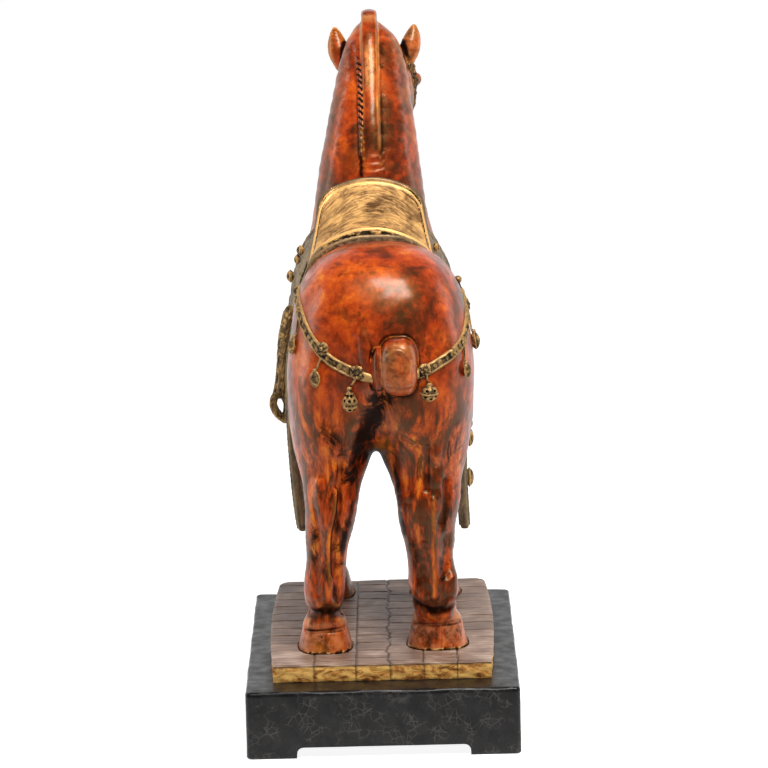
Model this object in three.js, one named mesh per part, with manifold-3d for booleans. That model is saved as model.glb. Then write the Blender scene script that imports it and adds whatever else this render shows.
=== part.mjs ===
// A Tang style tomb horse with its saddle and tack, carved as one, on a planked slab and a black plinth.
// Millimetres, +Z up, the horse faces +Y. The origin is at the middle of the plinth's underside.
import * as THREE from "three";
import { mergeVertices } from "three/addons/utils/BufferGeometryUtils.js";
import Module from "manifold-3d";

const wasm = await Module();
wasm.setup();
const { abs, ceil, hypot, max, min, sqrt, PI } = Math;

// Driving dimensions
const horseHeight = 545; // from the soles to the top of the hogged mane
const slabHeight = 15.5;
const slabSideMargin = 21; // slab beside the hooves' stance
const slabBackMargin = 36; // slab behind the hind hooves
const slabFrontMargin = 22; // slab ahead of the fore hooves
const slabBulge = 5; // how far each long side bows out
const slabFarCorner = 12; // radius of the two corners under the horse's head
const slabBevel = 1;
const plankJoints = [0.19, 0.38, 0.53, 0.69, 0.845]; // the lengthwise joints, as shares of the width
const jointWidth = 1.4;
const jointDepth = 0.9;
const plinthHeight = 60;
const plinthSideLedge = 24; // plinth beside the slab
const plinthBackLedge = 34;
const plinthFrontLedge = 15;
const plinthCorner = 5;
const plinthBevel = 1.5;
const footSize = 44; // each square bracket foot
const footHeight = 10;
const footFillet = 6;

// The horse is drawn on z = 0, x to its right and y forward, at this height, and scaled to its real one.
const drawnHeight = 545;
const drawnStance = { half: 75, back: -111, front: 144 }; // what its hooves cover
const drawnRoom = [[-108, -176, -12], [108, 188, 556]];
const drawnSole = -5; // the hooves are drawn down to here and cut flat at z = 0
const meshStep = 3.2; // the first mesh's cell
const horseTriangles = 8500; // what the mesh is thinned to

// The trunk: [centre, radii, blend, squareness] of eggs that run together
const trunk = [
  [[0, 14, 266], [69, 108, 84], 8, 2.15],
  [[5, -68, 272], [78, 78, 88], 26, 2.5],
  [[-1, 88, 278], [60, 60, 84], 30, 2.2],
  [[-38, -80, 220], [38, 52, 74], 22, 2.2],
  [[42, -80, 224], [41.5, 52, 80], 22, 2.2],
  [[-34, 96, 238], [34, 42, 66], 22, 2.2],
  [[34, 96, 238], [34, 42, 66], 22, 2.2],
  [[-22, 118, 290], [34, 32, 46], 18, 2],
  [[22, 118, 290], [34, 32, 46], 18, 2],
];

// Limbs: [x, y, z, radius] down each, its depth front to back for each width, and the blend into the body
const limbs = [
  {
    points: [
      [-2, 80, 318, 56], [-2.2, 82, 360, 52], [-1.6, 83, 397, 47], [0, 88, 431, 41.5],
      [1.6, 95.5, 465, 36], [3, 106, 500, 28], [1, 117, 519, 17],
    ],
    depth: 0.88,
    blend: 26,
  },
  {
    points: [
      [-40, -60, 206, 34], [-41, -86, 168, 27.5], [-41.2, -100, 140, 24], [-44, -101, 116, 21.3],
      [-46.3, -101, 100, 19], [-47.3, -100, 82, 17.5], [-50, -99, 56, 18], [-50, -93, 38, 15],
      [-50, -87, 22, 17],
    ],
    depth: 1,
    blend: 14,
  },
  {
    points: [
      [44, -60, 206, 37], [42.2, -86, 168, 33], [44, -99, 140, 28.3], [42.8, -100, 120, 25.5],
      [44, -100, 102, 22.5], [44.6, -99, 82, 20.2], [47, -97, 56, 22], [48, -92, 38, 18.5], [49, -85, 22, 19],
    ],
    depth: 0.92,
    blend: 14,
  },
  {
    points: [
      [-40, 96, 196, 29], [-45, 102, 150, 20.5], [-51, 106, 108, 18], [-52, 105, 78, 14],
      [-53, 104, 52, 16.5], [-52, 111, 36, 14.5], [-50, 115, 22, 16],
    ],
    depth: 1,
    blend: 14,
  },
  {
    points: [
      [40, 96, 196, 29], [46, 102, 150, 20.5], [50, 106, 108, 18], [51, 105, 78, 14],
      [52, 104, 52, 17], [51, 111, 36, 14.5], [50, 115, 22, 16],
    ],
    depth: 1,
    blend: 14,
  },
  {
    points: [
      [4, 122, 502, 25], [7.5, 137, 481, 29], [9.5, 147, 452, 24], [11, 155, 424, 18.5], [12, 159, 402, 16.5],
    ],
    depth: 1,
    blend: 8,
  },
];

// Hooves: centre x, heel y, toe y, half width at the sole and at the top, height
const hooves = [
  [-50.5, -111, -50, 24, 17.5, 30],
  [49.5, -106, -46, 27, 20, 30],
  [-49, 88, 144, 23, 16.5, 28],
  [50, 86, 142, 23, 16.5, 28],
];

// The head's smaller forms: [centre, radii, blend], the first four of them at its left and right
const headX = 8;
const headSides = [
  [[16, 133, 463], [16, 24, 28], 10], // cheek
  [[29.5, 147, 477], [10, 9, 8], 4], // eye
  [[23, 152, 487], [10, 8, 5], 6], // brow
  [[14, 168, 399], [8, 7, 9], 5], // nostril's wing
];
const headMiddle = [
  [[12, 149, 396], [12, 13, 9], 6], // lower lip
  [[10, 158, 460], [12, 12, 26], 10], // nose bone
];
const nostrils = [[-2.5, 173, 399], [26.5, 173, 399]];
const nostrilRadii = [4.5, 4.5, 5];
const mouth = { from: [-10, 166, 390, 2], to: [34, 166, 390, 2] };
const earDepth = 0.8;
const ears = [
  [[-24, 138, 493, 8], [-28, 140, 506, 9.8], [-30, 142, 517, 7], [-31, 143, 525, 3]],
  [[34, 138, 494, 7], [37.5, 140, 507, 9.5], [40, 142, 517, 7], [41.5, 143, 525, 3]],
];
const earHollows = [
  [[-30, 151, 496, 3], [-31.5, 152, 508, 6.5], [-32, 152, 520, 3.5]],
  [[36, 151, 497, 3], [38.5, 152, 508, 6.5], [41, 152, 520, 3.5]],
];

// The hogged mane: a thin standing arc, given as [y, z]
const maneArc = [
  [57.5, 392], [58, 410], [60, 428], [63.5, 443], [71, 465], [84, 495], [99, 518], [117, 531],
  [135, 526], [148, 506],
];
const mane = { x: 0.6, half: 7, reach: 14, round: 1.6 };

// The tied tail stands out of the rump, with clefts beside and under it: [from, to, blend]
const tailEggs = [
  [[17, -128, 278], [14, 18, 12], 6, 2.2],
  [[2.5, -140, 261], [6, 15, 21], 2, 2.6],
  [[20.5, -143, 264.5], [16.5, 21, 25.5], 2, 3],
];
const tailClefts = [
  [[9, -160, 236, 9], [-4, -126, 182, 7], 14],
  [[-3, -154, 296, 2], [1, -150, 244, 4], 8],
];

// Saddle: its seat's middle line as [y, z], how it falls to the sides, and its plan
const saddleX = -1.5;
const seatLine = [
  [-40, 368.5], [-33, 366], [-22, 365], [-8, 369], [8, 377], [20, 385.5], [31, 393.5], [38, 398],
];
const seatCrown = 0.0072;
const skirt = { from: 46, fall: 0.07 }; // the seat's sides fall faster from here outward
const seatHalf = { rear: 59, slope: -0.2 };
const seatEnds = [-40, 38];
const seatCorner = 14;
const seatRim = { inner: 1.5, outer: 3.6, proud: 1.2 };
// at the front the rim stands up as a band, outside of the rest of it
const pommel = { from: 24, over: 10, inner: 0.8, proud: 5, deep: 2 };
const seatFoot = 300; // the solid under the seat ends here, inside the trunk
const seatSlope = 0.88; // a height over the sloping seat is this much of the way to it

// Saddle cloth on the skin: its ends in y, how proud it is and where it stops
const clothEnds = [-48, 48];
const clothProud = 4.5;
const clothFoot = 262;
const clothUnderSeat = 0.5;

// Mud flaps: each one's middle line as [x, z] from the top down, and its outline seen from the side
const flapLines = [
  [
    [-48.5, 354], [-56, 345], [-61.5, 335], [-67.5, 321], [-71.5, 302], [-75, 262], [-76, 200], [-73, 135],
    [-69, 97],
  ],
  [
    [43.5, 354], [50.5, 345], [56, 335], [63, 321], [69, 302], [74.5, 262], [76, 200], [74.5, 150],
    [76.5, 94],
  ],
];
const flapThickness = 9;
const flap = { y: 3, half: 45, low: 92, high: 400, corner: 15, flare: 0.02 };
const flapBorder = { from: 3, to: 8, proud: 1.6 };

// Straps on the skin: points near it, width, how proud
const crupperLeft = [
  [-72, -46, 318], [-68, -70, 318], [-66, -97, 312], [-62, -113, 301], [-54, -126, 286], [-39, -138, 270],
  [-20, -143, 260], [-8, -144, 256], [-2, -140, 255],
];
const crupperRight = [
  [36, -138, 257], [42, -142, 258], [56, -135, 265], [70, -123, 273], [78, -107, 283], [80.5, -93, 294],
  [80, -70, 304], [76, -46, 316],
];
const breastStrap = [
  [-62, 40, 302], [-60, 80, 294], [-50, 116, 286], [-27, 140, 279], [0, 147, 276],
  [27, 140, 279], [50, 116, 286], [60, 80, 294], [62, 40, 302],
];
const cheekStraps = [
  [[36, 134, 492], [43, 138, 477], [41, 138, 462], [34, 144, 443], [29, 152, 421]],
  [[-17, 134, 492], [-22, 138, 477], [-21, 138, 462], [-13, 144, 443], [-6, 152, 421]],
];
const noseband = [
  [-6, 152, 421], [-2, 166, 421], [11, 174, 421], [25, 166, 421], [29, 152, 421], [22, 142, 419],
  [0, 142, 419], [-6, 152, 421],
];
const browband = [[36, 134, 492], [26, 152, 499], [10, 160, 503], [-8, 152, 499], [-17, 134, 492]];
const girth = { width: 8.5, proud: 2.4 };
const bridle = { width: 5.5, proud: 1.8 };

// Drops, rosettes and bells on the skin: [x, y, z, width, height]
const bosses = [
  [-69.6, -106, 277, 9.5, 17], [-46, -134, 279, 11, 12], [-50.5, -133, 253, 12, 15.5],
  [-16, -144, 260, 13, 13], [-22, -141, 236, 16, 22], [45.5, -140, 240, 17, 17],
  [77.4, -116, 254, 12, 14], [85, -74, 272, 13, 17], [82, -64, 303, 13, 13], [77, -56, 326, 10, 9],
  [79, -58, 314, 10, 9], [67, -124, 270, 9, 9], [-50, 118, 268, 11, 16], [50, 118, 268, 11, 16],
  [-26, 141, 260, 12, 17], [26, 141, 260, 12, 17], [0, 147, 257, 15, 20], [-17, 135, 491, 8, 8],
  [38, 135, 489, 9, 9], [0, 147, 277, 13, 13],
];

// Beads on the flaps: [centre, radii]
const beads = [
  [[-64.5, -18, 347], [3.6, 4, 4]], [[-67.5, -18, 339], [3, 4, 4]], [[-74, -18, 324], [3.6, 4.5, 5]],
  [[56.5, -12, 346], [3.4, 4, 4]], [[82.5, 0, 183], [3.6, 5, 5]], [[83, 0, 170], [3.6, 5, 8]],
  [[82, 0, 133], [4, 8, 8]], [[-75.5, -14, 291], [4.5, 5, 6]],
];

// The cloth tied at the left of the saddle: two strands, and a loop at their end
const strands = [
  [[-76, -14, 290, 3.5], [-80, -9, 270, 3.2], [-83, -4, 250, 3], [-84.5, -2, 226, 3.2], [-86, 0, 214, 3.6]],
  [[-78, -12, 290, 3.5], [-83, -6, 270, 3.2], [-85.5, 1, 250, 3], [-87.5, 3, 226, 3.2], [-90, 3, 214, 3.6]],
  [[-86, 0, 214, 3.6], [-91.5, 0, 211, 3.4], [-93, 0, 203, 3.4], [-89, 0, 195, 3.6], [-83, 0, 190, 3.2]],
  [[-86, 0, 214, 3.6], [-81.5, 0, 209, 3.6], [-80.5, 0, 201, 3.6], [-83, 0, 190, 3.2]],
];

// The distance fields below are under zero inside a form. Blending joins two of them with a fillet of size k.
function blend(a, b, k) {
  const h = max(k - abs(a - b), 0) / k;
  return min(a, b) - 0.25 * k * h * h;
}
const meet = (a, b, k) => -blend(-a, -b, k);

function egg(x, y, z, centre, radii, square = 2) {
  const ex = abs(x - centre[0]) + 1e-6;
  const ey = abs(y - centre[1]) + 1e-6;
  const ez = abs(z - centre[2]) + 1e-6;
  const qx = ex / radii[0];
  const qy = ey / radii[1];
  const qz = ez / radii[2];
  const round = square === 2;
  const reach = round ? hypot(qx, qy, qz) : (qx ** square + qy ** square + qz ** square) ** (1 / square);
  return hypot(ex, ey, ez) * (1 - 1 / reach);
}

// a rod with a round section, from a to b, each [x, y, z, radius]
function bone(x, y, z, a, b) {
  const ux = b[0] - a[0];
  const uy = b[1] - a[1];
  const uz = b[2] - a[2];
  const t = ((x - a[0]) * ux + (y - a[1]) * uy + (z - a[2]) * uz) / (ux * ux + uy * uy + uz * uz);
  const s = min(1, max(0, t));
  const dx = x - a[0] - s * ux;
  const dy = y - a[1] - s * uy;
  const dz = z - a[2] - s * uz;
  return sqrt(dx * dx + dy * dy + dz * dz) - a[3] - s * (b[3] - a[3]);
}

function nearest(x, y, z, line) {
  let near = Infinity;
  for (let i = 0; i + 1 < line.length; i++) near = min(near, bone(x, y, z, line[i], line[i + 1]));
  return near;
}

// a value on the smooth curve from b to c, with a and d as the points before and after
function curved(t, a, b, c, d) {
  return b + 0.5 * t * (c - a + t * (2 * a - 5 * b + 4 * c - d + t * (3 * (b - c) + d - a)));
}

function fourAround(points, i) {
  return [max(i - 1, 0), i, i + 1, min(i + 2, points.length - 1)].map((n) => points[n]);
}

function smoothed(points, steps = 3) {
  const out = [];
  for (let i = 0; i + 1 < points.length; i++) {
    const [p, q, r, s] = fourAround(points, i);
    for (let n = 0; n < steps; n++) out.push(q.map((v, c) => curved(n / steps, p[c], v, r[c], s[c])));
  }
  out.push(points[points.length - 1]);
  return out;
}

function boxAround(line, margin) {
  return {
    low: [0, 1, 2].map((c) => min(...line.map((p) => p[c] - margin(p)))),
    high: [0, 1, 2].map((c) => max(...line.map((p) => p[c] + margin(p)))),
  };
}

function outside(x, y, z, { low, high }) {
  return max(low[0] - x, x - high[0], low[1] - y, y - high[1], low[2] - z, z - high[2]);
}

function limbOf(points, depth = 1, k = 1) {
  const line = smoothed(points).map(([x, y, z, r]) => [x, y / depth, z, r]);
  return { line, depth, k, room: boxAround(line, (p) => p[3]) };
}

// blends a limb into the distance d
function withLimb(d, x, y, z, { line, depth, k, room }) {
  const v = y / depth;
  if (outside(x, v, z, room) > d + k) return d;
  return blend(d, nearest(x, v, z, line) * min(1, depth), k);
}

function hoof(x, y, z, [cx, heel, toe, foot, top, height]) {
  const t = min(1.2, max(-0.2, z / height));
  const half = foot + (top - foot) * t;
  const front = toe - 0.75 * height * t;
  const back = heel + 0.2 * height * t;
  const ex = abs(x - cx) / half;
  const ey = abs(y - (front + back) / 2) / ((front - back) / 2);
  const side = ((ex ** 2.6 + ey ** 2.6) ** (1 / 2.6) - 1) * half;
  return max(meet(side, z - height, 8), drawnSole - z);
}

const maneLine = maneArc.map(([y, z]) => [mane.x, y, z, mane.reach]);
function maneRidge(x, y, z) {
  return meet(nearest(mane.x, y, z, maneLine), abs(x - mane.x) - mane.half, mane.round);
}

const mirrored = (form, n) => [[headX + (n ? 1 : -1) * form[0][0], form[0][1], form[0][2]], form[1], form[2]];
const headForms = [...headSides.flatMap((form) => [mirrored(form, 0), mirrored(form, 1)]), ...headMiddle];
const bodyLimbs = limbs.map(({ points, depth, blend: k }) => limbOf(points, depth, k));
const earLimbs = ears.map((points) => limbOf(points, earDepth, 4));
const hollowLimbs = earHollows.map((points) => limbOf(points));
const headFoot = 340; // nothing of the head or the mane is lower
const rearEnd = -90; // the tail and its clefts are behind this

function withHead(body, x, y, z) {
  let d = body;
  for (const [centre, radii, k] of headForms) d = blend(d, egg(x, y, z, centre, radii), k);
  for (const centre of nostrils) d = meet(d, -egg(x, y, z, centre, nostrilRadii), 2);
  d = meet(d, -bone(x, y, z, mouth.from, mouth.to), 2);
  for (const one of earLimbs) d = withLimb(d, x, y, z, one);
  for (const one of hollowLimbs) d = meet(d, -withLimb(Infinity, x, y, z, one), 2);
  return blend(d, maneRidge(x, y, z), 3);
}

function withTail(body, x, y, z) {
  let d = body;
  for (const [from, to, k] of tailClefts) d = meet(d, -bone(x, y, z, from, to), k);
  for (const [centre, radii, k, square] of tailEggs) d = blend(d, egg(x, y, z, centre, radii, square), k);
  return d;
}

// the bare horse
function skin(x, y, z) {
  let d = Infinity;
  for (const [centre, radii, k, square] of trunk) {
    const reach = 1.2 * max(...radii);
    if (hypot(x - centre[0], y - centre[1], z - centre[2]) - reach > d + k) continue;
    d = blend(d, egg(x, y, z, centre, radii, square), k);
  }
  for (const one of bodyLimbs) d = withLimb(d, x, y, z, one);
  for (const one of hooves) d = blend(d, hoof(x, y, z, one), 5);
  if (z > headFoot) d = withHead(d, x, y, z);
  return y < rearEnd ? withTail(d, x, y, z) : d;
}

function seatHeight(y) {
  let i = 0;
  while (i + 2 < seatLine.length && y > seatLine[i + 1][0]) i += 1;
  const four = fourAround(seatLine, i);
  const t = min(1, max(0, (y - four[1][0]) / (four[2][0] - four[1][0])));
  return curved(t, ...four.map((station) => station[1]));
}

function roundedPlan(u, v, halfU, halfV, corner) {
  const qu = abs(u) - halfU + corner;
  const qv = abs(v) - halfV + corner;
  return hypot(max(qu, 0), max(qv, 0)) + min(max(qu, qv), 0) - corner;
}

const smoothStep = (t) => {
  const s = min(1, max(0, t));
  return s * s * (3 - 2 * s);
};

// height over the seat's surface, which goes on past the seat
function seatLevel(x, y, z) {
  const across = x - saddleX;
  const side = max(abs(across) - skirt.from, 0);
  return z - seatHeight(min(y, seatEnds[1])) + seatCrown * across * across + skirt.fall * side * side;
}

function saddle(x, y, z) {
  const half = seatHalf.rear + seatHalf.slope * (y - seatEnds[0]);
  const long = (seatEnds[1] - seatEnds[0]) / 2;
  const plan = roundedPlan(x - saddleX, y - seatEnds[0] - long, half, long, seatCorner);
  const front = smoothStep((y - pommel.from) / pommel.over);
  const rim = plan > -seatRim.inner ? seatRim.proud : 0;
  const band = plan > pommel.inner ? pommel.proud * front : 0;
  const top = (seatLevel(x, y, z) - rim - band) * seatSlope;
  return meet(meet(top, plan - seatRim.outer - pommel.deep * front, 2), seatFoot - z, 4);
}

function saddleCloth(x, y, z, body) {
  const long = (clothEnds[1] - clothEnds[0]) / 2;
  const ends = abs(y - clothEnds[0] - long) - long;
  const underSeat = seatLevel(x, y, z) + clothUnderSeat;
  return meet(meet(meet(body - clothProud, ends, 2), clothFoot - z, 4), underSeat, 2);
}

const flapRods = flapLines.map((points) => smoothed(points.map(([x, z]) => [x, 0, z, flapThickness / 2])));
function mudFlap(x, y, z, n) {
  const d = nearest(x, 0, z, flapRods[n]);
  const [middle, half] = [(flap.low + flap.high) / 2, (flap.high - flap.low) / 2];
  const halfLong = flap.half + flap.flare * (z - flap.low);
  const plan = roundedPlan(y - flap.y, z - middle, halfLong, half, flap.corner);
  const across = (flapBorder.to - flapBorder.from) / 2;
  const border = max(abs(plan + flapBorder.from + across) - across, d - flapBorder.proud);
  return meet(min(meet(d, plan, 3), border), seatLevel(x, y, z) + clothUnderSeat, 2);
}

// follows the skin field's slope until the point lies on the skin
function settled(point) {
  const reach = 0.5;
  let p = point;
  for (let round = 0; round < 8; round++) {
    const slope = [0, 1, 2].map((c) => {
      const ahead = p.map((v, n) => (n === c ? v + reach : v));
      const behind = p.map((v, n) => (n === c ? v - reach : v));
      return (skin(...ahead) - skin(...behind)) / (2 * reach);
    });
    const away = skin(...p) / (hypot(...slope) ** 2 + 1e-6);
    p = p.map((v, c) => v - away * slope[c]);
  }
  return p;
}

const strapOf = (points, { width, proud }) => {
  const line = smoothed(points.map((p) => [...settled(p), 0]), 2);
  return { line, width, proud, room: boxAround(line, () => width) };
};
const straps = [
  ...[crupperLeft, crupperRight, breastStrap].map((points) => strapOf(points, girth)),
  ...[...cheekStraps, noseband, browband].map((points) => strapOf(points, bridle)),
];
const bossEggs = bosses.map(([x, y, z, width, height]) => {
  return [settled([x, y, z]), [width / 2, width / 2, height / 2]];
});
const strandLimbs = strands.map((points) => limbOf(points, 1, 1.5));

// Where these forms can matter: how far from the middle, or from the skin, or from a boss's centre
const saddleRoom = { y: 75, low: 60, high: 430, flaps: 34, beads: 50 };
const tackRoom = { skin: 14, boss: 40 };

function tack(x, y, z, body) {
  let d = Infinity;
  for (const { line, width, proud, room } of straps) {
    if (outside(x, y, z, room) > 0) continue;
    d = min(d, meet(body - proud, nearest(x, y, z, line) - width / 2, 1.2));
  }
  for (const [centre, radii] of bossEggs) {
    const away = abs(x - centre[0]) + abs(y - centre[1]) + abs(z - centre[2]);
    if (away < tackRoom.boss) d = min(d, egg(x, y, z, centre, radii));
  }
  return d;
}

function horseField(x, y, z) {
  const body = skin(x, y, z);
  let d = body;
  const atSaddle = abs(y) < saddleRoom.y && z > saddleRoom.low && z < saddleRoom.high;
  if (atSaddle) {
    d = min(d, saddleCloth(x, y, z, body));
    d = blend(d, saddle(x, y, z), 1.5);
    if (abs(x) > saddleRoom.flaps) d = blend(d, mudFlap(x, y, z, x < 0 ? 0 : 1), 5);
  }
  if (abs(body) < tackRoom.skin) d = blend(d, tack(x, y, z, body), 1);
  if (atSaddle && abs(x) > saddleRoom.beads) {
    for (const [centre, radii] of beads) d = blend(d, egg(x, y, z, centre, radii), 1);
    for (const one of strandLimbs) d = withLimb(d, x, y, z, one);
  }
  return d;
}

// Meshing: the field is sampled on a grid, coarsely first to leave out what is far from the surface.
function sampled(field, [low, high], step) {
  const size = low.map((l, i) => ceil((high[i] - l) / step) + 1);
  const [nx, ny, nz] = size;
  const values = new Float32Array(nx * ny * nz);
  const block = 4;
  const reach = step * block * 1.45;
  const fill = (bx, by, bz) => {
    const middle = [bx, by, bz].map((b, i) => low[i] + (b + block / 2 - 0.5) * step);
    const far = field(...middle);
    const near = abs(far) < reach;
    for (let k = bz; k < min(bz + block, nz); k++) {
      for (let j = by; j < min(by + block, ny); j++) {
        for (let i = bx; i < min(bx + block, nx); i++) {
          const value = near ? field(low[0] + i * step, low[1] + j * step, low[2] + k * step) : far;
          values[i + nx * (j + ny * k)] = value;
        }
      }
    }
  };
  for (let bz = 0; bz < nz; bz += block) {
    for (let by = 0; by < ny; by += block) {
      for (let bx = 0; bx < nx; bx += block) fill(bx, by, bz);
    }
  }
  return { values, size, low, step };
}

// A cell's corners are numbered by bits: 1 for x, 2 for y, 4 for z.
const corners = [...Array(8).keys()].map((i) => [i & 1, (i >> 1) & 1, i >> 2]);
const cellEdges = [];
for (let a = 0; a < 8; a++) {
  for (const axis of [1, 2, 4]) {
    if (!(a & axis)) cellEdges.push([a, a | axis]);
  }
}
const cellFaces = [1, 2, 4].flatMap((axis) => {
  const [u, v] = [1, 2, 4].filter((other) => other !== axis);
  return [0, axis].map((base) => [base, base | u, base | u | v, base | v]);
});
const edgeAt = new Map(cellEdges.flatMap(([a, b], e) => [[a * 8 + b, e], [b * 8 + a, e]]));

// For each pattern of corners inside, the sheets of surface that cross the cell and each crossed edge's sheet
function sheetsOf(pattern) {
  const crossed = ([a, b]) => ((pattern >> a) ^ (pattern >> b)) & 1;
  const label = cellEdges.map((edge, e) => (crossed(edge) ? e : -1));
  const join = (a, b) => {
    const [from, to] = [label[a], label[b]];
    label.forEach((l, i) => {
      if (l === from) label[i] = to;
    });
  };
  for (const face of cellFaces) {
    const ring = [0, 1, 2, 3].map((i) => edgeAt.get(face[i] * 8 + face[(i + 1) % 4]));
    const cut = ring.filter((e) => label[e] >= 0);
    if (cut.length === 2) join(cut[0], cut[1]);
    for (let i = 0; cut.length === 4 && i < 4; i++) {
      if ((pattern >> face[i]) & 1) join(ring[i], ring[(i + 3) % 4]);
    }
  }
  const names = [...new Set(label.filter((l) => l >= 0))];
  return { count: names.length, sheet: label.map((l) => names.indexOf(l)) };
}
const sheetTable = [...Array(256).keys()].map(sheetsOf);

// One vertex for each sheet in each cell, at the mean of where the surface crosses the cell's edges
function netPoints({ values, size, low, step }) {
  const [nx, ny, nz] = size;
  const offset = corners.map(([i, j, k]) => i + nx * (j + ny * k));
  const firstOf = new Int32Array(values.length);
  const patterns = new Uint8Array(values.length);
  const points = [];
  const visit = (i, j, k) => {
    const cell = i + nx * (j + ny * k);
    const pattern = offset.reduce((bits, o, c) => (values[cell + o] < 0 ? bits | (1 << c) : bits), 0);
    if (pattern === 0 || pattern === 255) return;
    const { count, sheet } = sheetTable[pattern];
    const sums = [...Array(count)].map(() => [0, 0, 0, 0]);
    cellEdges.forEach(([a, b], e) => {
      if (sheet[e] < 0) return;
      const va = values[cell + offset[a]];
      const t = va / (va - values[cell + offset[b]]);
      const sum = sums[sheet[e]];
      for (let c = 0; c < 3; c++) sum[c] += corners[a][c] + t * (corners[b][c] - corners[a][c]);
      sum[3] += 1;
    });
    firstOf[cell] = points.length;
    patterns[cell] = pattern;
    for (const sum of sums) points.push([i, j, k].map((v, c) => low[c] + (v + sum[c] / sum[3]) * step));
  };
  for (let k = 0; k < nz - 1; k++) {
    for (let j = 0; j < ny - 1; j++) {
      for (let i = 0; i < nx - 1; i++) visit(i, j, k);
    }
  }
  return { points, firstOf, patterns };
}

// Two triangles across each grid edge that the surface crosses, between the four cells round it
function surfaceNet(grid) {
  const { values, size } = grid;
  const [nx, ny, nz] = size;
  const { points, firstOf, patterns } = netPoints(grid);
  const stride = [0, 1, nx, 0, nx * ny];
  const faces = [];
  const gap = (p, q) => hypot(...points[p].map((v, n) => v - points[q][n]));
  const visit = (here, axis, u, v) => {
    const inside = values[here] < 0;
    if (inside === values[here + stride[axis]] < 0) return;
    const ring = [[0, 0], [1, 0], [1, 1], [0, 1]].map(([du, dv]) => {
      const cell = here - du * stride[u] - dv * stride[v];
      const start = (du ? u : 0) | (dv ? v : 0);
      return firstOf[cell] + sheetTable[patterns[cell]].sheet[edgeAt.get(start * 8 + (start | axis))];
    });
    if (inside) ring.reverse();
    const [a, b, c, d] = ring;
    if (gap(a, c) < gap(b, d)) faces.push([a, c, b], [a, d, c]);
    else faces.push([a, d, b], [b, d, c]);
  };
  for (let k = 1; k < nz - 1; k++) {
    for (let j = 1; j < ny - 1; j++) {
      for (let i = 1; i < nx - 1; i++) {
        const here = i + nx * (j + ny * k);
        visit(here, 1, 2, 4);
        visit(here, 2, 4, 1);
        visit(here, 4, 1, 2);
      }
    }
  }
  return { points, faces };
}

function crossOf(p, q, r) {
  const [ux, uy, uz] = [q[0] - p[0], q[1] - p[1], q[2] - p[2]];
  const [vx, vy, vz] = [r[0] - p[0], r[1] - p[1], r[2] - p[2]];
  return [uy * vz - uz * vy, uz * vx - ux * vz, ux * vy - uy * vx];
}
const dot = (p, q) => p[0] * q[0] + p[1] * q[1] + p[2] * q[2];
const apart = (p, q) => hypot(p[0] - q[0], p[1] - q[1], p[2] - q[2]);

// The ten sums that give the squared distance to a set of planes, weighted by area
function planeSums(p, q, r) {
  const normal = crossOf(p, q, r);
  const size = hypot(...normal) || 1e-12;
  const [a, b, c] = normal.map((v) => v / size);
  const d = -dot([a, b, c], p);
  return [a * a, a * b, a * c, a * d, b * b, b * c, b * d, c * c, c * d, d * d].map((v) => v * size);
}

function offPlanes([aa, ab, ac, ad, bb, bc, bd, cc, cd, dd], [x, y, z]) {
  const twice = ab * x * y + ac * x * z + bc * y * z + ad * x + bd * y + cd * z;
  return aa * x * x + bb * y * y + cc * z * z + dd + 2 * twice;
}

// The point nearest to all the planes, held softly to a given middle so that it stays put where they agree
function bestPoint([aa, ab, ac, ad, bb, bc, bd, cc, cd], middle) {
  const hold = 2e-3 * (aa + bb + cc) + 1e-9;
  const rows = [[aa + hold, ab, ac], [ab, bb + hold, bc], [ac, bc, cc + hold]];
  const wanted = [hold * middle[0] - ad, hold * middle[1] - bd, hold * middle[2] - cd];
  const columns = [0, 1, 2].map((c) => rows.map((row) => row[c]));
  const volume = (p, q, r) => dot(p, crossOf([0, 0, 0], q, r));
  const whole = volume(...columns);
  return [0, 1, 2].map((c) => volume(...columns.map((column, n) => (n === c ? wanted : column))) / whole);
}

// A queue that gives back its cheapest entry first
class Queue {
  entries = [];
  push(entry) {
    const { entries } = this;
    let i = entries.push(entry) - 1;
    while (i > 0) {
      const parent = (i - 1) >> 1;
      if (entries[parent].cost <= entry.cost) break;
      entries[i] = entries[parent];
      i = parent;
    }
    entries[i] = entry;
  }
  pop() {
    const { entries } = this;
    const first = entries[0];
    const last = entries.pop();
    if (entries.length === 0) return first;
    let i = 0;
    while (2 * i + 1 < entries.length) {
      let child = 2 * i + 1;
      if (child + 1 < entries.length && entries[child + 1].cost < entries[child].cost) child += 1;
      if (entries[child].cost >= last.cost) break;
      entries[i] = entries[child];
      i = child;
    }
    entries[i] = last;
    return first;
  }
}

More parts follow.
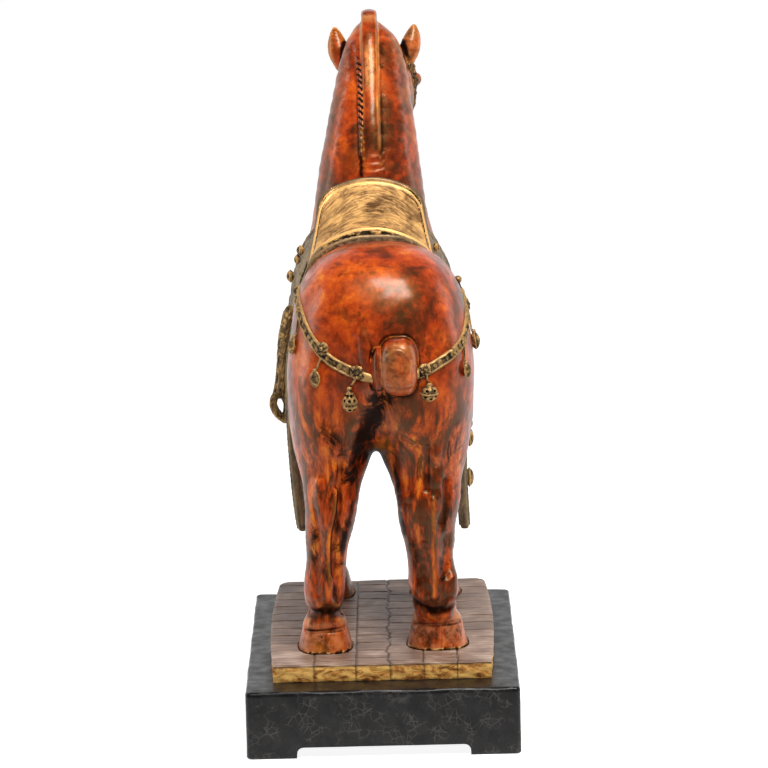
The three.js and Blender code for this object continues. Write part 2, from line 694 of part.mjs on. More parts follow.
// Thins a closed mesh: edges are folded to points, the one that moves the surface least first.
function thinned({ points, faces }, wanted) {
  const sums = points.map(() => new Float64Array(10));
  const around = points.map(() => new Set());
  const changes = new Uint32Array(points.length);
  faces.forEach((face, f) => {
    const terms = planeSums(...face.map((i) => points[i]));
    for (const i of face) {
      around[i].add(f);
      terms.forEach((v, n) => {
        sums[i][n] += v;
      });
    }
  });
  const ringOf = (i) => {
    const ring = new Set([...around[i]].flatMap((f) => faces[f]));
    ring.delete(i);
    return ring;
  };
  const queue = new Queue();
  const offer = (a, b) => {
    const both = sums[a].map((v, n) => v + sums[b][n]);
    const middle = points[a].map((v, c) => (v + points[b][c]) / 2);
    const at = bestPoint(both, middle);
    const cost = offPlanes(both, at) + 1e-4 * apart(points[a], points[b]) ** 2;
    queue.push({ cost, a, b, at, stamp: changes[a] + changes[b] });
  };
  // a face may turn a little when its corner moves, but not fold over or turn into a needle
  const holds = (f, corner, at) => {
    const old = faces[f].map((i) => points[i]);
    const moved = faces[f].map((i) => (i === corner ? at : points[i]));
    const [was, is] = [crossOf(...old), crossOf(...moved)];
    const longest = max(apart(moved[0], moved[1]), apart(moved[1], moved[2]), apart(moved[2], moved[0]));
    return dot(was, is) > 0.35 * hypot(...was) * hypot(...is) && hypot(...is) > 0.06 * longest * longest;
  };
  const fold = ({ a, b, at }) => {
    const ring = ringOf(a);
    const shared = [...ringOf(b)].filter((i) => ring.has(i));
    if (shared.length !== 2) return 0;
    const gone = [...around[a]].filter((f) => around[b].has(f));
    const sound = (i) => [...around[i]].every((f) => gone.includes(f) || holds(f, i, at));
    if (gone.length !== 2 || !sound(a) || !sound(b)) return 0;
    for (const f of gone) {
      for (const i of faces[f]) around[i].delete(f);
      faces[f] = null;
    }
    for (const f of around[b]) {
      faces[f] = faces[f].map((i) => (i === b ? a : i));
      around[a].add(f);
    }
    around[b].clear();
    points[a] = at;
    sums[b].forEach((v, n) => {
      sums[a][n] += v;
    });
    changes[a] += 1;
    changes[b] += 1;
    for (const i of ringOf(a)) offer(a, i);
    return 2;
  };
  for (const [i, j, k] of faces) {
    if (i < j) offer(i, j);
    if (j < k) offer(j, k);
    if (k < i) offer(k, i);
  }
  let left = faces.length;
  while (left > wanted && queue.entries.length > 0) {
    const best = queue.pop();
    if (best.stamp === changes[best.a] + changes[best.b]) left -= fold(best);
  }
  return { points, faces: faces.filter((face) => face) };
}

// The biggest of a mesh's separate shells, so that no hollow is left closed inside the horse
function biggestShell({ points, faces }) {
  const leader = points.map((_, i) => i);
  const leaderOf = (i) => {
    let at = i;
    while (leader[at] !== at) {
      leader[at] = leader[leader[at]];
      at = leader[at];
    }
    return at;
  };
  for (const [a, b, c] of faces) {
    leader[leaderOf(a)] = leaderOf(b);
    leader[leaderOf(b)] = leaderOf(c);
  }
  const counts = new Map();
  for (const [a] of faces) counts.set(leaderOf(a), (counts.get(leaderOf(a)) ?? 0) + 1);
  const biggest = max(...counts.values());
  return { points, faces: faces.filter(([a]) => counts.get(leaderOf(a)) === biggest) };
}

// Solids for joining and cutting
function solidOf(positions, triangles) {
  const vertProperties = new Float32Array(positions);
  const triVerts = new Uint32Array(triangles);
  return new wasm.Manifold(new wasm.Mesh({ numProp: 3, vertProperties, triVerts }));
}

function solidFrom(geometry) {
  const bare = new THREE.BufferGeometry();
  bare.setAttribute("position", geometry.getAttribute("position"));
  bare.setIndex(geometry.getIndex());
  const merged = mergeVertices(bare);
  return solidOf(merged.getAttribute("position").array, merged.getIndex().array);
}

function geometryFrom(solid) {
  const { vertProperties, triVerts } = solid.getMesh();
  const geometry = new THREE.BufferGeometry();
  geometry.setAttribute("position", new THREE.BufferAttribute(vertProperties, 3));
  geometry.setIndex(new THREE.BufferAttribute(triVerts, 1));
  return geometry;
}

function boxBetween(low, high) {
  const size = high.map((v, i) => v - low[i]);
  const box = new THREE.BoxGeometry(...size);
  return solidFrom(box.translate(...low.map((v, i) => v + size[i] / 2)));
}

// Places that follow from the driving dimensions
const grow = horseHeight / drawnHeight;
const slabHalf = drawnStance.half * grow + slabSideMargin;
const slabBack = drawnStance.back * grow - slabBackMargin;
const slabFront = drawnStance.front * grow + slabFrontMargin;
const plinthHalf = slabHalf + plinthSideLedge;
const plinthBack = slabBack - plinthBackLedge;
const plinthFront = slabFront + plinthFrontLedge;
const plinthMiddle = (plinthBack + plinthFront) / 2;
const slabTop = plinthHeight + slabHeight;
const past = 5; // how far a cutter runs past what it cuts

function horseGeometry() {
  const net = biggestShell(surfaceNet(sampled(horseField, drawnRoom, meshStep)));
  const { points, faces } = thinned(net, horseTriangles);
  const used = [...new Set(faces.flat())];
  const place = new Map(used.map((i, n) => [i, n]));
  const positions = used.flatMap((i) => points[i].map((v) => v * grow));
  const triangles = faces.flat().map((i) => place.get(i));
  const [low, high] = drawnRoom.map((corner) => corner.map((v) => v * grow));
  const under = boxBetween([low[0], low[1], low[2] - past], [high[0], high[1], 0]);
  return geometryFrom(solidOf(positions, triangles).subtract(under));
}

function slabOutline() {
  const middle = (slabBack + slabFront) / 2;
  const shape = new THREE.Shape();
  shape.moveTo(-slabHalf, slabBack);
  shape.lineTo(slabHalf, slabBack);
  shape.quadraticCurveTo(slabHalf + 2 * slabBulge, middle, slabHalf, slabFront - slabFarCorner);
  shape.quadraticCurveTo(slabHalf, slabFront, slabHalf - slabFarCorner, slabFront);
  shape.lineTo(slabFarCorner - slabHalf, slabFront);
  shape.quadraticCurveTo(-slabHalf, slabFront, -slabHalf, slabFront - slabFarCorner);
  shape.quadraticCurveTo(-slabHalf - 2 * slabBulge, middle, -slabHalf, slabBack);
  return shape;
}

// an outline raised between two heights, its top and bottom edges bevelled inwards
function raised(shape, from, to, bevel, curveSegments) {
  const bevels = { bevelThickness: bevel, bevelSize: bevel, bevelOffset: -bevel, bevelSegments: 1 };
  const depth = to - from - 2 * bevel;
  const geometry = new THREE.ExtrudeGeometry(shape, { depth, curveSegments, ...bevels });
  return geometry.translate(0, 0, from + bevel);
}

// the planks' joints are cut into the slab's top and down its two end faces
function slabGeometry() {
  let slab = solidFrom(raised(slabOutline(), 0, slabHeight, slabBevel, 10));
  for (const share of plankJoints) {
    const left = slabHalf * (2 * share - 1) - jointWidth / 2;
    const right = left + jointWidth;
    const floor = slabHeight - jointDepth;
    const cuts = [
      boxBetween([left, slabBack - past, floor], [right, slabFront + past, slabHeight + past]),
      boxBetween([left, slabBack - past, -past], [right, slabBack + jointDepth, slabHeight + past]),
      boxBetween([left, slabFront - jointDepth, -past], [right, slabFront + past, slabHeight + past]),
    ];
    for (const cut of cuts) slab = slab.subtract(cut);
  }
  return geometryFrom(slab);
}

function roundedOutline(halfX, halfY, radius) {
  const shape = new THREE.Shape();
  const [x, y] = [halfX - radius, halfY - radius];
  shape.absarc(x, -y, radius, -PI / 2, 0);
  shape.absarc(x, y, radius, 0, PI / 2);
  shape.absarc(-x, y, radius, PI / 2, PI);
  shape.absarc(-x, -y, radius, PI, 1.5 * PI);
  return shape;
}

// the open way between two feet: a long bar whose upper edges are rounded by the feet's fillets
function channel(wide, long) {
  const half = wide / 2;
  const shape = new THREE.Shape();
  shape.moveTo(-half, -past);
  shape.lineTo(half, -past);
  shape.absarc(half - footFillet, footHeight - footFillet, footFillet, 0, PI / 2);
  shape.absarc(footFillet - half, footHeight - footFillet, footFillet, PI / 2, PI);
  const bar = new THREE.ExtrudeGeometry(shape, { depth: long, bevelEnabled: false, curveSegments: 6 });
  return bar.translate(0, 0, -long / 2).rotateX(PI / 2);
}

function plinthGeometry() {
  const halfLong = (plinthFront - plinthBack) / 2;
  const outline = roundedOutline(plinthHalf, halfLong, plinthCorner);
  const block = solidFrom(raised(outline, 0, plinthHeight, plinthBevel, 6));
  const lengthwise = channel(2 * (plinthHalf - footSize), 2 * (halfLong + past));
  const across = channel(2 * (halfLong - footSize), 2 * (plinthHalf + past)).rotateZ(PI / 2);
  return geometryFrom(block.subtract(solidFrom(lengthwise)).subtract(solidFrom(across)));
}

// The scene graph
const group = new THREE.Group();
function add(name, geometry, y, z, color, roughness, metalness) {
  const mesh = new THREE.Mesh(geometry, new THREE.MeshStandardMaterial({ color, roughness, metalness }));
  mesh.name = name;
  mesh.position.set(0, y, z);
  group.add(mesh);
}
add("plinth", plinthGeometry(), 0, 0, 0x1b1716, 0.35, 0);
add("ground_slab", slabGeometry(), -plinthMiddle, plinthHeight, 0x6f604b, 0.5, 0.2);
add("horse", horseGeometry(), -plinthMiddle, slabTop, 0x8e3f1d, 0.35, 0);

export default group;
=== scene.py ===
import math

import bpy
import numpy as np
from mathutils import Matrix, Vector


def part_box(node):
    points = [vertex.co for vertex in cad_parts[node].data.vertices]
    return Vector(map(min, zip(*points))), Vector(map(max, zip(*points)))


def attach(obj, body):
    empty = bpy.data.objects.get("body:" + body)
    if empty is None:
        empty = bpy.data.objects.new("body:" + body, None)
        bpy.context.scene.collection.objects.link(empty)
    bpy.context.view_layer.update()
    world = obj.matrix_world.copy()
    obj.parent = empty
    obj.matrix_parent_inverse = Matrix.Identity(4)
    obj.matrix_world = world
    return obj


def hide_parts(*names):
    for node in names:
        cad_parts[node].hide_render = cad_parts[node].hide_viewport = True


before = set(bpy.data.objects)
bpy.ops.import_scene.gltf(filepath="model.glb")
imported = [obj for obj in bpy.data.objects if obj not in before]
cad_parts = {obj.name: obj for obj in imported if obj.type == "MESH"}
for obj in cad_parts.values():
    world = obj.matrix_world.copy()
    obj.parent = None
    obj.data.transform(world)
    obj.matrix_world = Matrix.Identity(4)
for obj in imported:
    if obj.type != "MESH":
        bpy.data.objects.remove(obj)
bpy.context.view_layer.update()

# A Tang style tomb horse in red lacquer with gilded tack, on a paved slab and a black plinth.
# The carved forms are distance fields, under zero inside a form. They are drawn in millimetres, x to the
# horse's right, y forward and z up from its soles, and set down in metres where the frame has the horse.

# Places from the frame, in metres
horse_low, horse_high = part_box("horse")
slab_low, slab_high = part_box("ground_slab")
plinth_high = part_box("plinth")[1]
DRAWN_TOP = 545.1  # the top of the drawn mane
METRES = (horse_high.z - horse_low.z) / DRAWN_TOP  # one drawn millimetre
COARSER = 1.0

# The trunk: (centre, radii, blend, squareness) of eggs that run together
TRUNK = [
    ((0, 14, 266), (69, 108, 84), 8, 2.15),
    ((5, -68, 272), (78, 78, 88), 26, 2.5),
    ((-1, 88, 278), (60, 60, 84), 30, 2.2),
    ((-38, -80, 220), (38, 52, 74), 22, 2.2),
    ((42, -80, 224), (41.5, 52, 80), 22, 2.2),
    ((-34, 96, 238), (34, 42, 66), 22, 2.2),
    ((34, 96, 238), (34, 42, 66), 22, 2.2),
    ((-22, 118, 290), (34, 32, 46), 18, 2),
    ((22, 118, 290), (34, 32, 46), 18, 2),
]

# Limbs: (x, y, z, radius) down each, its depth for each width, and the blend into the body
LIMBS = [
    (
        [(-2, 80, 318, 56), (-2.2, 82, 360, 52), (-1.6, 83, 397, 47), (0, 88, 431, 41.5),
         (1.6, 95.5, 465, 36), (3, 106, 500, 28), (1, 117, 519, 17)],
        0.88, 26,
    ),
    (
        [(-40, -60, 206, 34), (-41, -86, 168, 27.5), (-41.2, -100, 140, 24), (-44, -101, 116, 21.3),
         (-46.3, -101, 100, 19), (-47.3, -100, 82, 17.5), (-50, -99, 56, 18), (-50, -93, 38, 15),
         (-50, -87, 22, 17)],
        1, 14,
    ),
    (
        [(44, -60, 206, 37), (42.2, -86, 168, 33), (44, -99, 140, 28.3), (42.8, -100, 120, 25.5),
         (44, -100, 102, 22.5), (44.6, -99, 82, 20.2), (47, -97, 56, 22), (48, -92, 38, 18.5),
         (49, -85, 22, 19)],
        0.92, 14,
    ),
    (
        [(-40, 96, 196, 29), (-45, 102, 150, 20.5), (-51, 106, 108, 18), (-52, 105, 78, 14),
         (-53, 104, 52, 16.5), (-52, 111, 36, 14.5), (-50, 115, 22, 16)],
        1, 14,
    ),
    (
        [(40, 96, 196, 29), (46, 102, 150, 20.5), (50, 106, 108, 18), (51, 105, 78, 14),
         (52, 104, 52, 17), (51, 111, 36, 14.5), (50, 115, 22, 16)],
        1, 14,
    ),
    (
        [(4, 122, 502, 25), (7.5, 137, 481, 29), (9.5, 147, 452, 24), (11, 155, 424, 18.5),
         (12, 159, 402, 16.5)],
        1, 8,
    ),
]

# Hooves: centre x, heel y, toe y, half width at the sole and at the top, height
HOOVES = [
    (-50.5, -111, -50, 24, 17.5, 30),
    (49.5, -106, -46, 27, 20, 30),
    (-49, 88, 144, 23, 16.5, 28),
    (50, 86, 142, 23, 16.5, 28),
]
SOLE = -5  # the hooves' field runs down to here, and the mesh is cut flat at 0
TOE_LEAN, HEEL_LEAN = 0.75, 0.2  # how far they lean inward for the height
HOOF_SQUARENESS = 2.6

# The head's smaller forms, the first four of them at its left and right
HEAD_X = 8
HEAD_SIDES = [
    ((16, 133, 463), (16, 24, 28), 10),
    ((29.5, 147, 477), (10, 9, 8), 4),
    ((23, 152, 487), (10, 8, 5), 6),
    ((14, 168, 399), (8, 7, 9), 5),
]
HEAD_MIDDLE = [((12, 149, 396), (12, 13, 9), 6), ((10, 158, 460), (12, 12, 26), 10)]
NOSTRILS = [(-2.5, 173, 399), (26.5, 173, 399)]
NOSTRIL_RADII = (4.5, 4.5, 5)
MOUTH = [(-10, 166, 390, 2), (34, 166, 390, 2)]
EARS = [
    [(-24, 138, 493, 8), (-28, 140, 506, 9.8), (-30, 142, 517, 7), (-31, 143, 525, 3)],
    [(34, 138, 494, 7), (37.5, 140, 507, 9.5), (40, 142, 517, 7), (41.5, 143, 525, 3)],
]
EAR_HOLLOWS = [
    [(-30, 151, 496, 3), (-31.5, 152, 508, 6.5), (-32, 152, 520, 3.5)],
    [(36, 151, 497, 3), (38.5, 152, 508, 6.5), (41, 152, 520, 3.5)],
]
MANE_ARC = [
    (57.5, 392), (58, 410), (60, 428), (63.5, 443), (71, 465),
    (84, 495), (99, 518), (117, 531), (135, 526), (148, 506),
]
MANE_X = 0.6
MANE_HALF = 7
MANE_REACH = 14
TAIL_EGGS = [
    ((17, -128, 278), (14, 18, 12), 6, 2.2),
    ((3.5, -140.5, 261), (6, 15, 21), 2, 2.6),
    ((20.5, -143, 264.5), (16.5, 21, 25.5), 2, 3),
]
TAIL_CLEFTS = [
    ((9, -160, 236, 9), (-4, -126, 182, 7), 14),
    ((-3, -154, 296, 2), (1, -150, 244, 4), 8),
]

# Saddle, cloth and flaps
SADDLE_X = -1.5
SEAT_LINE = np.array([
    (-40, 368.5), (-33, 366), (-22, 365), (-8, 369), (8, 377), (20, 385.5), (31, 393.5), (38, 398),
])
SEAT_CROWN = 0.0072
SKIRT_FROM, SKIRT_FALL = 46, 0.07  # the seat's sides fall faster from here outward
SEAT_HALF = 59
SEAT_TAPER = -0.2
SEAT_ENDS = (-40, 38)
SEAT_CORNER = 14
SEAT_EDGE = 3.6  # how far the wood goes past the seat's rim
SEAT_STEEP = 0.88  # turns height over the sloping seat into distance from it
RIM_IN, RIM_WIDTH = 0.3, 1.0  # the raised rim, with a groove inside it
GROOVE_IN, GROOVE_WIDTH = 2.5, 0.8
RIM_PROUD = 1.5
POMMEL_FROM, POMMEL_OVER, POMMEL_PROUD, POMMEL_DEEP = 24, 10, 5.2, 2
STROKE_WIDTH, STROKE_DEPTH = 0.62, 0.16  # the brushed strokes of the seat
CANTLE_BACK = -38  # the carved face under the cantle lies behind this
CLOTH_ENDS = (-48, 48)
CLOTH_PROUD = 4.5
CLOTH_FOOT = 262
FLAP_LINES = [
    [(-48.5, 354), (-56, 345), (-61.5, 335), (-67.5, 321), (-71.5, 302), (-75, 262), (-76, 200),
     (-73, 135), (-69, 97)],
    [(43.5, 354), (50.5, 345), (56, 335), (63, 321), (69, 302), (74.5, 262), (76, 200), (74.5, 150),
     (76.5, 94)],
]
FLAP_RADIUS = 4.5
FLAP_Y, FLAP_HALF, FLAP_LOW, FLAP_HIGH, FLAP_CORNER, FLAP_FLARE = 3, 45, 92, 400, 15, 0.02
FLAP_BORDER, FLAP_BEAD, FLAP_FIELD = 5.4, 11.5, 14  # how far in from a flap's edge each begins
MEDALLION_Z, MEDALLION_R = 200, 24
CLOTH_UNDER_SEAT = 0.5  # cloth and flaps stop this far over the seat's own level

# Straps: points near the skin
CRUPPER = [
    [(-72, -46, 318), (-68, -70, 318), (-66, -97, 312), (-62, -113, 301), (-54, -126, 286),
     (-39, -138, 270), (-20, -143, 260), (-8, -144, 256), (-2, -140, 255)],
    [(36, -138, 257), (42, -142, 258), (56, -135, 265), (70, -123, 273), (78, -107, 283),
     (80.5, -93, 294), (80, -70, 304), (76, -46, 316)],
]
BREAST_RIGHT = [(62, 40, 302), (60, 80, 294), (50, 116, 286), (27, 140, 279)]
BREAST_STRAP = [(-x, y, z) for x, y, z in BREAST_RIGHT] + [(0, 147, 276)] + BREAST_RIGHT[::-1]
CHEEK_STRAPS = [
    [(36, 134, 492), (43, 138, 477), (41, 138, 462), (34, 144, 443), (29, 152, 421)],
    [(-17, 134, 492), (-22, 138, 477), (-21, 138, 462), (-13, 144, 443), (-6, 152, 421)],
]
NOSEBAND = [
    (-6, 152, 421), (-2, 166, 421), (11, 174, 421), (25, 166, 421), (29, 152, 421), (22, 142, 419),
    (0, 142, 419), (-6, 152, 421),
]
BROWBAND = [(36, 134, 492), (26, 152, 499), (10, 160, 503), (-8, 152, 499), (-17, 134, 492)]
STRANDS = [
    [(-76, -14, 290, 3.5), (-80, -9, 270, 3.2), (-83, -4, 250, 3), (-84.5, -2, 226, 3.2),
     (-86, 0, 214, 3.6)],
    [(-78, -12, 290, 3.5), (-83, -6, 270, 3.2), (-85.5, 1, 250, 3), (-87.5, 3, 226, 3.2),
     (-90, 3, 214, 3.6)],
    [(-86, 0, 214, 3.6), (-91.5, 0, 211, 3.4), (-93, 0, 203, 3.4), (-89, 0, 195, 3.6),
     (-83, 0, 190, 3.2)],
    [(-86, 0, 214, 3.6), (-81.5, 0, 209, 3.6), (-80.5, 0, 201, 3.6), (-83, 0, 190, 3.2)],
]
KNOT = ((-75.5, -14, 291), (4.5, 5, 6))
# Beads on the cords behind the saddle: (centre, radii)
LEFT_BEADS = [
    ((-64.5, -18, 347), (3.6, 4, 4)), ((-67.5, -18, 339), (3, 4, 4)), ((-74, -18, 324), (3.6, 4.5, 5)),
]
RIGHT_BEADS = [
    ((56.5, -12, 346), (3.4, 4, 4)), ((82.5, 0, 183), (3.6, 5, 5)), ((83, 0, 170), (3.6, 5, 8)),
    ((82, 0, 133), (4, 8, 8)),
]

# Finer carving of the skin: (points near it, width, height), with a height under zero for a groove
RELIEF = [
    ([(-38, -121, 168), (-39, -121, 163)], 7.2, 4.3),
    ([(-50, -120, 155), (-49, -121, 140), (-46, -122, 122)], 6, 3),
    ([(-32, -124, 180), (-35, -123, 134), (-40, -121, 113), (-41, -116, 83), (-42, -114, 74)], 2.9, -4.7),
    ([(-37, -122, 150), (-39.5, -122, 132), (-44, -120, 113), (-46, -117, 90), (-45, -116, 69),
      (-47, -115, 50)], 2.8, 4),
    ([(-47, -115, 52), (-41, -114, 45), (-37, -109, 43)], 2.4, 2.4),
    ([(-47, -115, 52), (-54, -113, 45)], 2.4, 2),
    ([(-38.5, -113, 67), (-39, -112, 53)], 3.8, -4.7),
    ([(-56, -117, 88), (-57, -115, 56)], 3.1, -2.4),
    ([(-55, -118, 132), (-53, -119, 108), (-52, -117, 92)], 2.6, -2.2),
    ([(-67, -94, 36), (-60, -105, 36), (-48, -111, 38), (-38, -102, 36), (-32, -89, 34)], 3.1, -6.2),
    ([(-66, -98, 18), (-58, -105, 19), (-44, -106, 20), (-34, -98, 20)], 1.6, -2.7),
    ([(-62, -105, 27), (-52, -108, 27), (-42, -105, 26)], 3.6, 1.9),
    ([(50, -124, 181), (50, -124, 176)], 6, 3.2),
    ([(51, -121, 163), (51, -121, 157)], 6, 3.6),
    ([(44, -126, 188), (43, -124, 168), (43, -123, 150)], 2.6, -3),
    ([(59, -118, 156), (58, -119, 140), (55, -121, 120)], 2.9, -3.2),
    ([(48, -121, 140), (47, -120, 102), (48, -117, 61), (46, -115, 52)], 2.9, 4),
    ([(57, -114, 104), (58, -113, 86), (57, -112, 70)], 4.6, -4.6),
    ([(38, -119, 100), (38, -117, 70)], 3.1, -2),
    ([(63, -111, 66), (62, -111, 54)], 7.2, 5.5),
    ([(34, -110, 58), (38, -112, 50)], 6, 3),
    ([(20, -90, 52), (24, -98, 50), (34, -108, 43), (46, -111, 37), (58, -107, 40), (67, -99, 44),
      (70, -88, 46)], 3.1, -6.6),
    ([(50, -114, 46), (55, -113, 50), (60, -112, 46), (57, -110, 43)], 1.4, 2),
    ([(24, -96, 21), (34, -104, 22), (48, -106, 22), (62, -102, 23), (70, -92, 23)], 1.6, -2.7),
    ([(32, -106, 31), (46, -108, 30), (60, -104, 31)], 3.6, 1.9),
    ([(-9, -144, 290), (-7, -144, 266), (-7, -143, 246)], 5.5, 2),
    ([(-8, -144, 278), (-7, -144, 264), (-7, -143, 248)], 4.5, 1.6),
    ([(-16, -144, 290), (-15, -143, 268), (-14, -142, 254)], 3, -1.6),
    ([(12, -160, 274), (17, -164, 282), (24, -164, 281), (29, -160, 271), (27, -163, 258)], 1.7, 1.7),
    ([(17, -163, 272), (21, -165, 275), (24, -164, 266)], 2.2, -1.5),
    ([(5, -140, 236), (-2, -134, 216), (-7, -126, 196), (-14, -112, 178)], 9, -5),
    ([(10, -160, 250), (20, -163, 246), (30, -158, 250)], 1.4, -1.2),
    ([(-11, 44, 404), (-11.5, 52, 434), (-12, 62, 460), (-12, 77, 490), (-12, 95, 512)], 2.6, -0.7),
    ([(-13, -40, 214), (-22, -60, 200), (-26, -90, 188)], 6, -2),
    ([(-45, 120, 153), (-50, 122, 132), (-51, 122, 112)], 6, 3),
    ([(46, 120, 153), (50, 122, 132), (51, 122, 112)], 6, 3),
    ([(-60, 104, 92), (-62, 103, 66)], 2.4, -2.2),
    ([(61, 104, 92), (62, 103, 66)], 2.4, -2.2),
    ([(-46, 87, 96), (-49, 88, 66)], 2.4, -2.4),
    ([(46, 87, 96), (49, 88, 66)], 2.4, -2.4),
    ([(-69, -70, 24), (-62, -60, 25), (-50, -56, 26), (-38, -60, 25), (-33, -70, 24)], 1.9, -2.2),
    ([(70, -66, 25), (62, -54, 26), (50, -50, 27), (38, -54, 26), (30, -66, 25)], 1.9, -2.2),
]
# The same, drawn for the right half alone
RELIEF_BOTH = [
    ([(60, -40, 230), (50, -38, 214)], 8, -2.7),
    ([(66, 106, 40), (53, 96, 38), (40, 104, 40)], 2.6, -4.1),
    ([(68, 116, 24), (62, 130, 24), (50, 136, 25), (38, 130, 24), (33, 116, 24)], 1.9, -2.2),
]
# Near black painted shade between the thighs, down the inner legs and in the grooves and creases: (points
# near it, width, how strongly)
PAINTED_SHADE_LINES = [
    ([(8, -142, 240), (0, -138, 222), (-5, -128, 198), (-14, -112, 176)], 11, 1),
    ([(-12, -114, 182), (-24, -112, 172), (-31, -113, 162)], 9, 0.8),
    ([(-22, -108, 176), (-26, -112, 150), (-29, -112, 120), (-33, -112, 84)], 7, 0.9),
    ([(20, -108, 168), (22, -108, 140), (24, -108, 110)], 6, 0.8),
    ([(-66, -96, 37), (-50, -110, 38), (-34, -98, 37)], 4, 1),
    ([(22, -98, 50), (34, -108, 43), (46, -111, 37), (58, -107, 40), (70, -92, 46)], 4.4, 1),
    ([(56, -114, 100), (56, -113, 84), (54, -112, 68)], 5, 0.8),
    ([(-38, -113, 66), (-39, -112, 53)], 3.6, 0.9),
    ([(-31, -124, 176), (-33, -123, 144), (-37, -121, 116)], 6, 0.55),
    ([(-39, -116, 100), (-41, -114, 76)], 6, 0.6),
    ([(-56, -117, 112), (-57, -115, 88)], 7, 0.5),
    ([(-48, -118, 92), (-49, -116, 70)], 5, 0.5),
    ([(61, -117, 140), (60, -119, 112)], 9, 0.5),
    ([(30, -112, 104), (33, -112, 66)], 8, 0.45),
    ([(60, -118, 180), (64, -110, 204)], 9, 0.5),
    ([(-40, -120, 210), (-34, -122, 190)], 12, 0.5),
    ([(10, 44, 404), (10, 52, 434), (10, 62, 460), (9.5, 77, 490), (9.5, 95, 514)], 3.4, 0.5),
    ([(-9, 44, 404), (-9.5, 52, 434), (-10, 62, 460), (-10, 72, 480)], 2.6, 0.6),
]
# Carving of the head, drawn for its right half as offsets from the head's middle
HEAD_RELIEF = [
    ([(27, 137, 478), (31, 144, 484), (32, 151, 483), (29, 157, 477)], 1.3, 1.5),
    ([(27, 138, 476), (31, 146, 470), (30, 153, 471), (29, 157, 477)], 1.2, 1.2),
    ([(29, 141, 478), (34, 147, 481), (33, 153, 478)], 1.0, -0.8),
    ([(24, 158, 489), (29, 152, 492), (30, 142, 491)], 2.2, 1.4),
    ([(14, 140, 424), (20, 130, 434), (25, 120, 450), (22, 110, 470)], 3.2, 1.6),
    ([(16, 154, 448), (17, 152, 430), (16, 154, 412)], 2.4, -1.3),
    ([(12, 168, 452), (12, 171, 430), (10, 174, 412)], 2.2, 1.1),
    ([(8, 172, 407), (16, 170, 408), (20, 164, 402), (17, 163, 394)], 1.6, 1.3),
    ([(22, 148, 465), (17, 153, 460)], 2.4, -1.2),
]
BRAID = [
    (-8.4, 47, 424), (-8.6, 52, 440), (-8.7, 58.5, 460), (-8.8, 67.5, 480), (-8.8, 79, 498),
    (-8.6, 92, 512), (-8, 108, 524),
]
MANE_BANDS = [(58, 407), (58, 413), (58.5, 420)]  # wraps round the mane's foot, as (y, z) of its spine


# Distance fields. Points are arrays of shape (3, n).
def blend(a, b, k):
    """Two forms joined, with a fillet about as wide as k"""
    h = np.maximum(k - np.abs(a - b), 0) / k
    return np.minimum(a, b) - 0.25 * k * h * h


def meet(a, b, k):
    """What two forms share, rounded the same way"""
    return -blend(-a, -b, k)


def bump(away, width):
    return np.exp(-((away / width) ** 2))


def rising(value, start, over):
    """0 up to a start, then 1 from so far past it"""
    t = np.clip((value - start) / over, 0, 1)
    return t * t * (3 - 2 * t)


def falling(value, end, over):
    """1 up to so far before an end, then 0 from there on"""
    return rising(-value, -end, over)


def empty(p, far=20.0):
    """A field with nothing in it"""
    return np.full(p.shape[1], far)


def egg(p, centre, radii, square=2.0):
    e = np.abs(p - np.reshape(centre, (3, 1))) + 1e-6
    q = e / np.reshape(radii, (3, 1))
    reach = np.sqrt((q * q).sum(0)) if square == 2 else (q**square).sum(0) ** (1 / square)
    return np.sqrt((e * e).sum(0)) * (1 - 1 / reach)


def bone(p, a, b):
    a, b = np.asarray(a, float), np.asarray(b, float)
    u = b[:3] - a[:3]
    w = p - a[:3, None]
    s = np.clip(u @ w / max(u @ u, 1e-9), 0, 1)
    gap = w - u[:, None] * s
    return np.sqrt((gap * gap).sum(0)) - a[3] - s * (b[3] - a[3])


def nearest(p, line):
    near = bone(p, line[0], line[1])
    for a, b in zip(line[1:], line[2:]):
        near = np.minimum(near, bone(p, a, b))
    return near


def along(p, line):
    """How far points are from a line, and the length along the line there"""
    near = np.full(p.shape[1], np.inf)
    place = np.zeros(p.shape[1])
    start = 0.0
    for a, b in zip(line, line[1:]):
        u = (b - a)[:3]
        length = math.sqrt(u @ u) + 1e-9
        w = p - a[:3, None]
        s = np.clip(u @ w / length**2, 0, 1)
        gap = w - u[:, None] * s
        away = np.sqrt((gap * gap).sum(0))
        closer = away < near
        near[closer] = away[closer]
        place[closer] = start + s[closer] * length
        start += length
    return near, place


def curved(t, a, b, c, d):
    return b + 0.5 * t * (c - a + t * (2 * a - 5 * b + 4 * c - d + t * (3 * (b - c) + d - a)))


def smoothed(points, steps=3):
    points = np.asarray(points, float)
    out = []
    for i in range(len(points) - 1):
        four = [points[min(max(n, 0), len(points) - 1)] for n in (i - 1, i, i + 1, i + 2)]
        out += [curved(n / steps, *four) for n in range(steps)]
    return np.array(out + [points[-1]])


def room_of(line, margin=0.0):
    reach = line[:, 3:] if line.shape[1] > 3 else 0
    return (line[:, :3] - reach).min(0) - margin, (line[:, :3] + reach).max(0) + margin


def off(p, room):
    """How far points are outside a box"""
    low, high = room
    return np.maximum(low[:, None] - p, p - high[:, None]).max(0)


def add_form(d, p, room, k, form):
    near = off(p, room) < d + k
    if near.any():
        d[near] = blend(d[near], form(p[:, near]), k)


def cut_form(d, p, room, k, form):
    near = off(p, room) < k - d
    if near.any():
        d[near] = meet(d[near], -form(p[:, near]), k)


def egg_room(centre, radii):
    centre, radii = np.array(centre, float), np.array(radii, float)
    return centre - radii, centre + radii


def add_egg(d, p, centre, radii, k, square=2.0):
    add_form(d, p, egg_room(centre, radii), k, lambda q: egg(q, centre, radii, square))


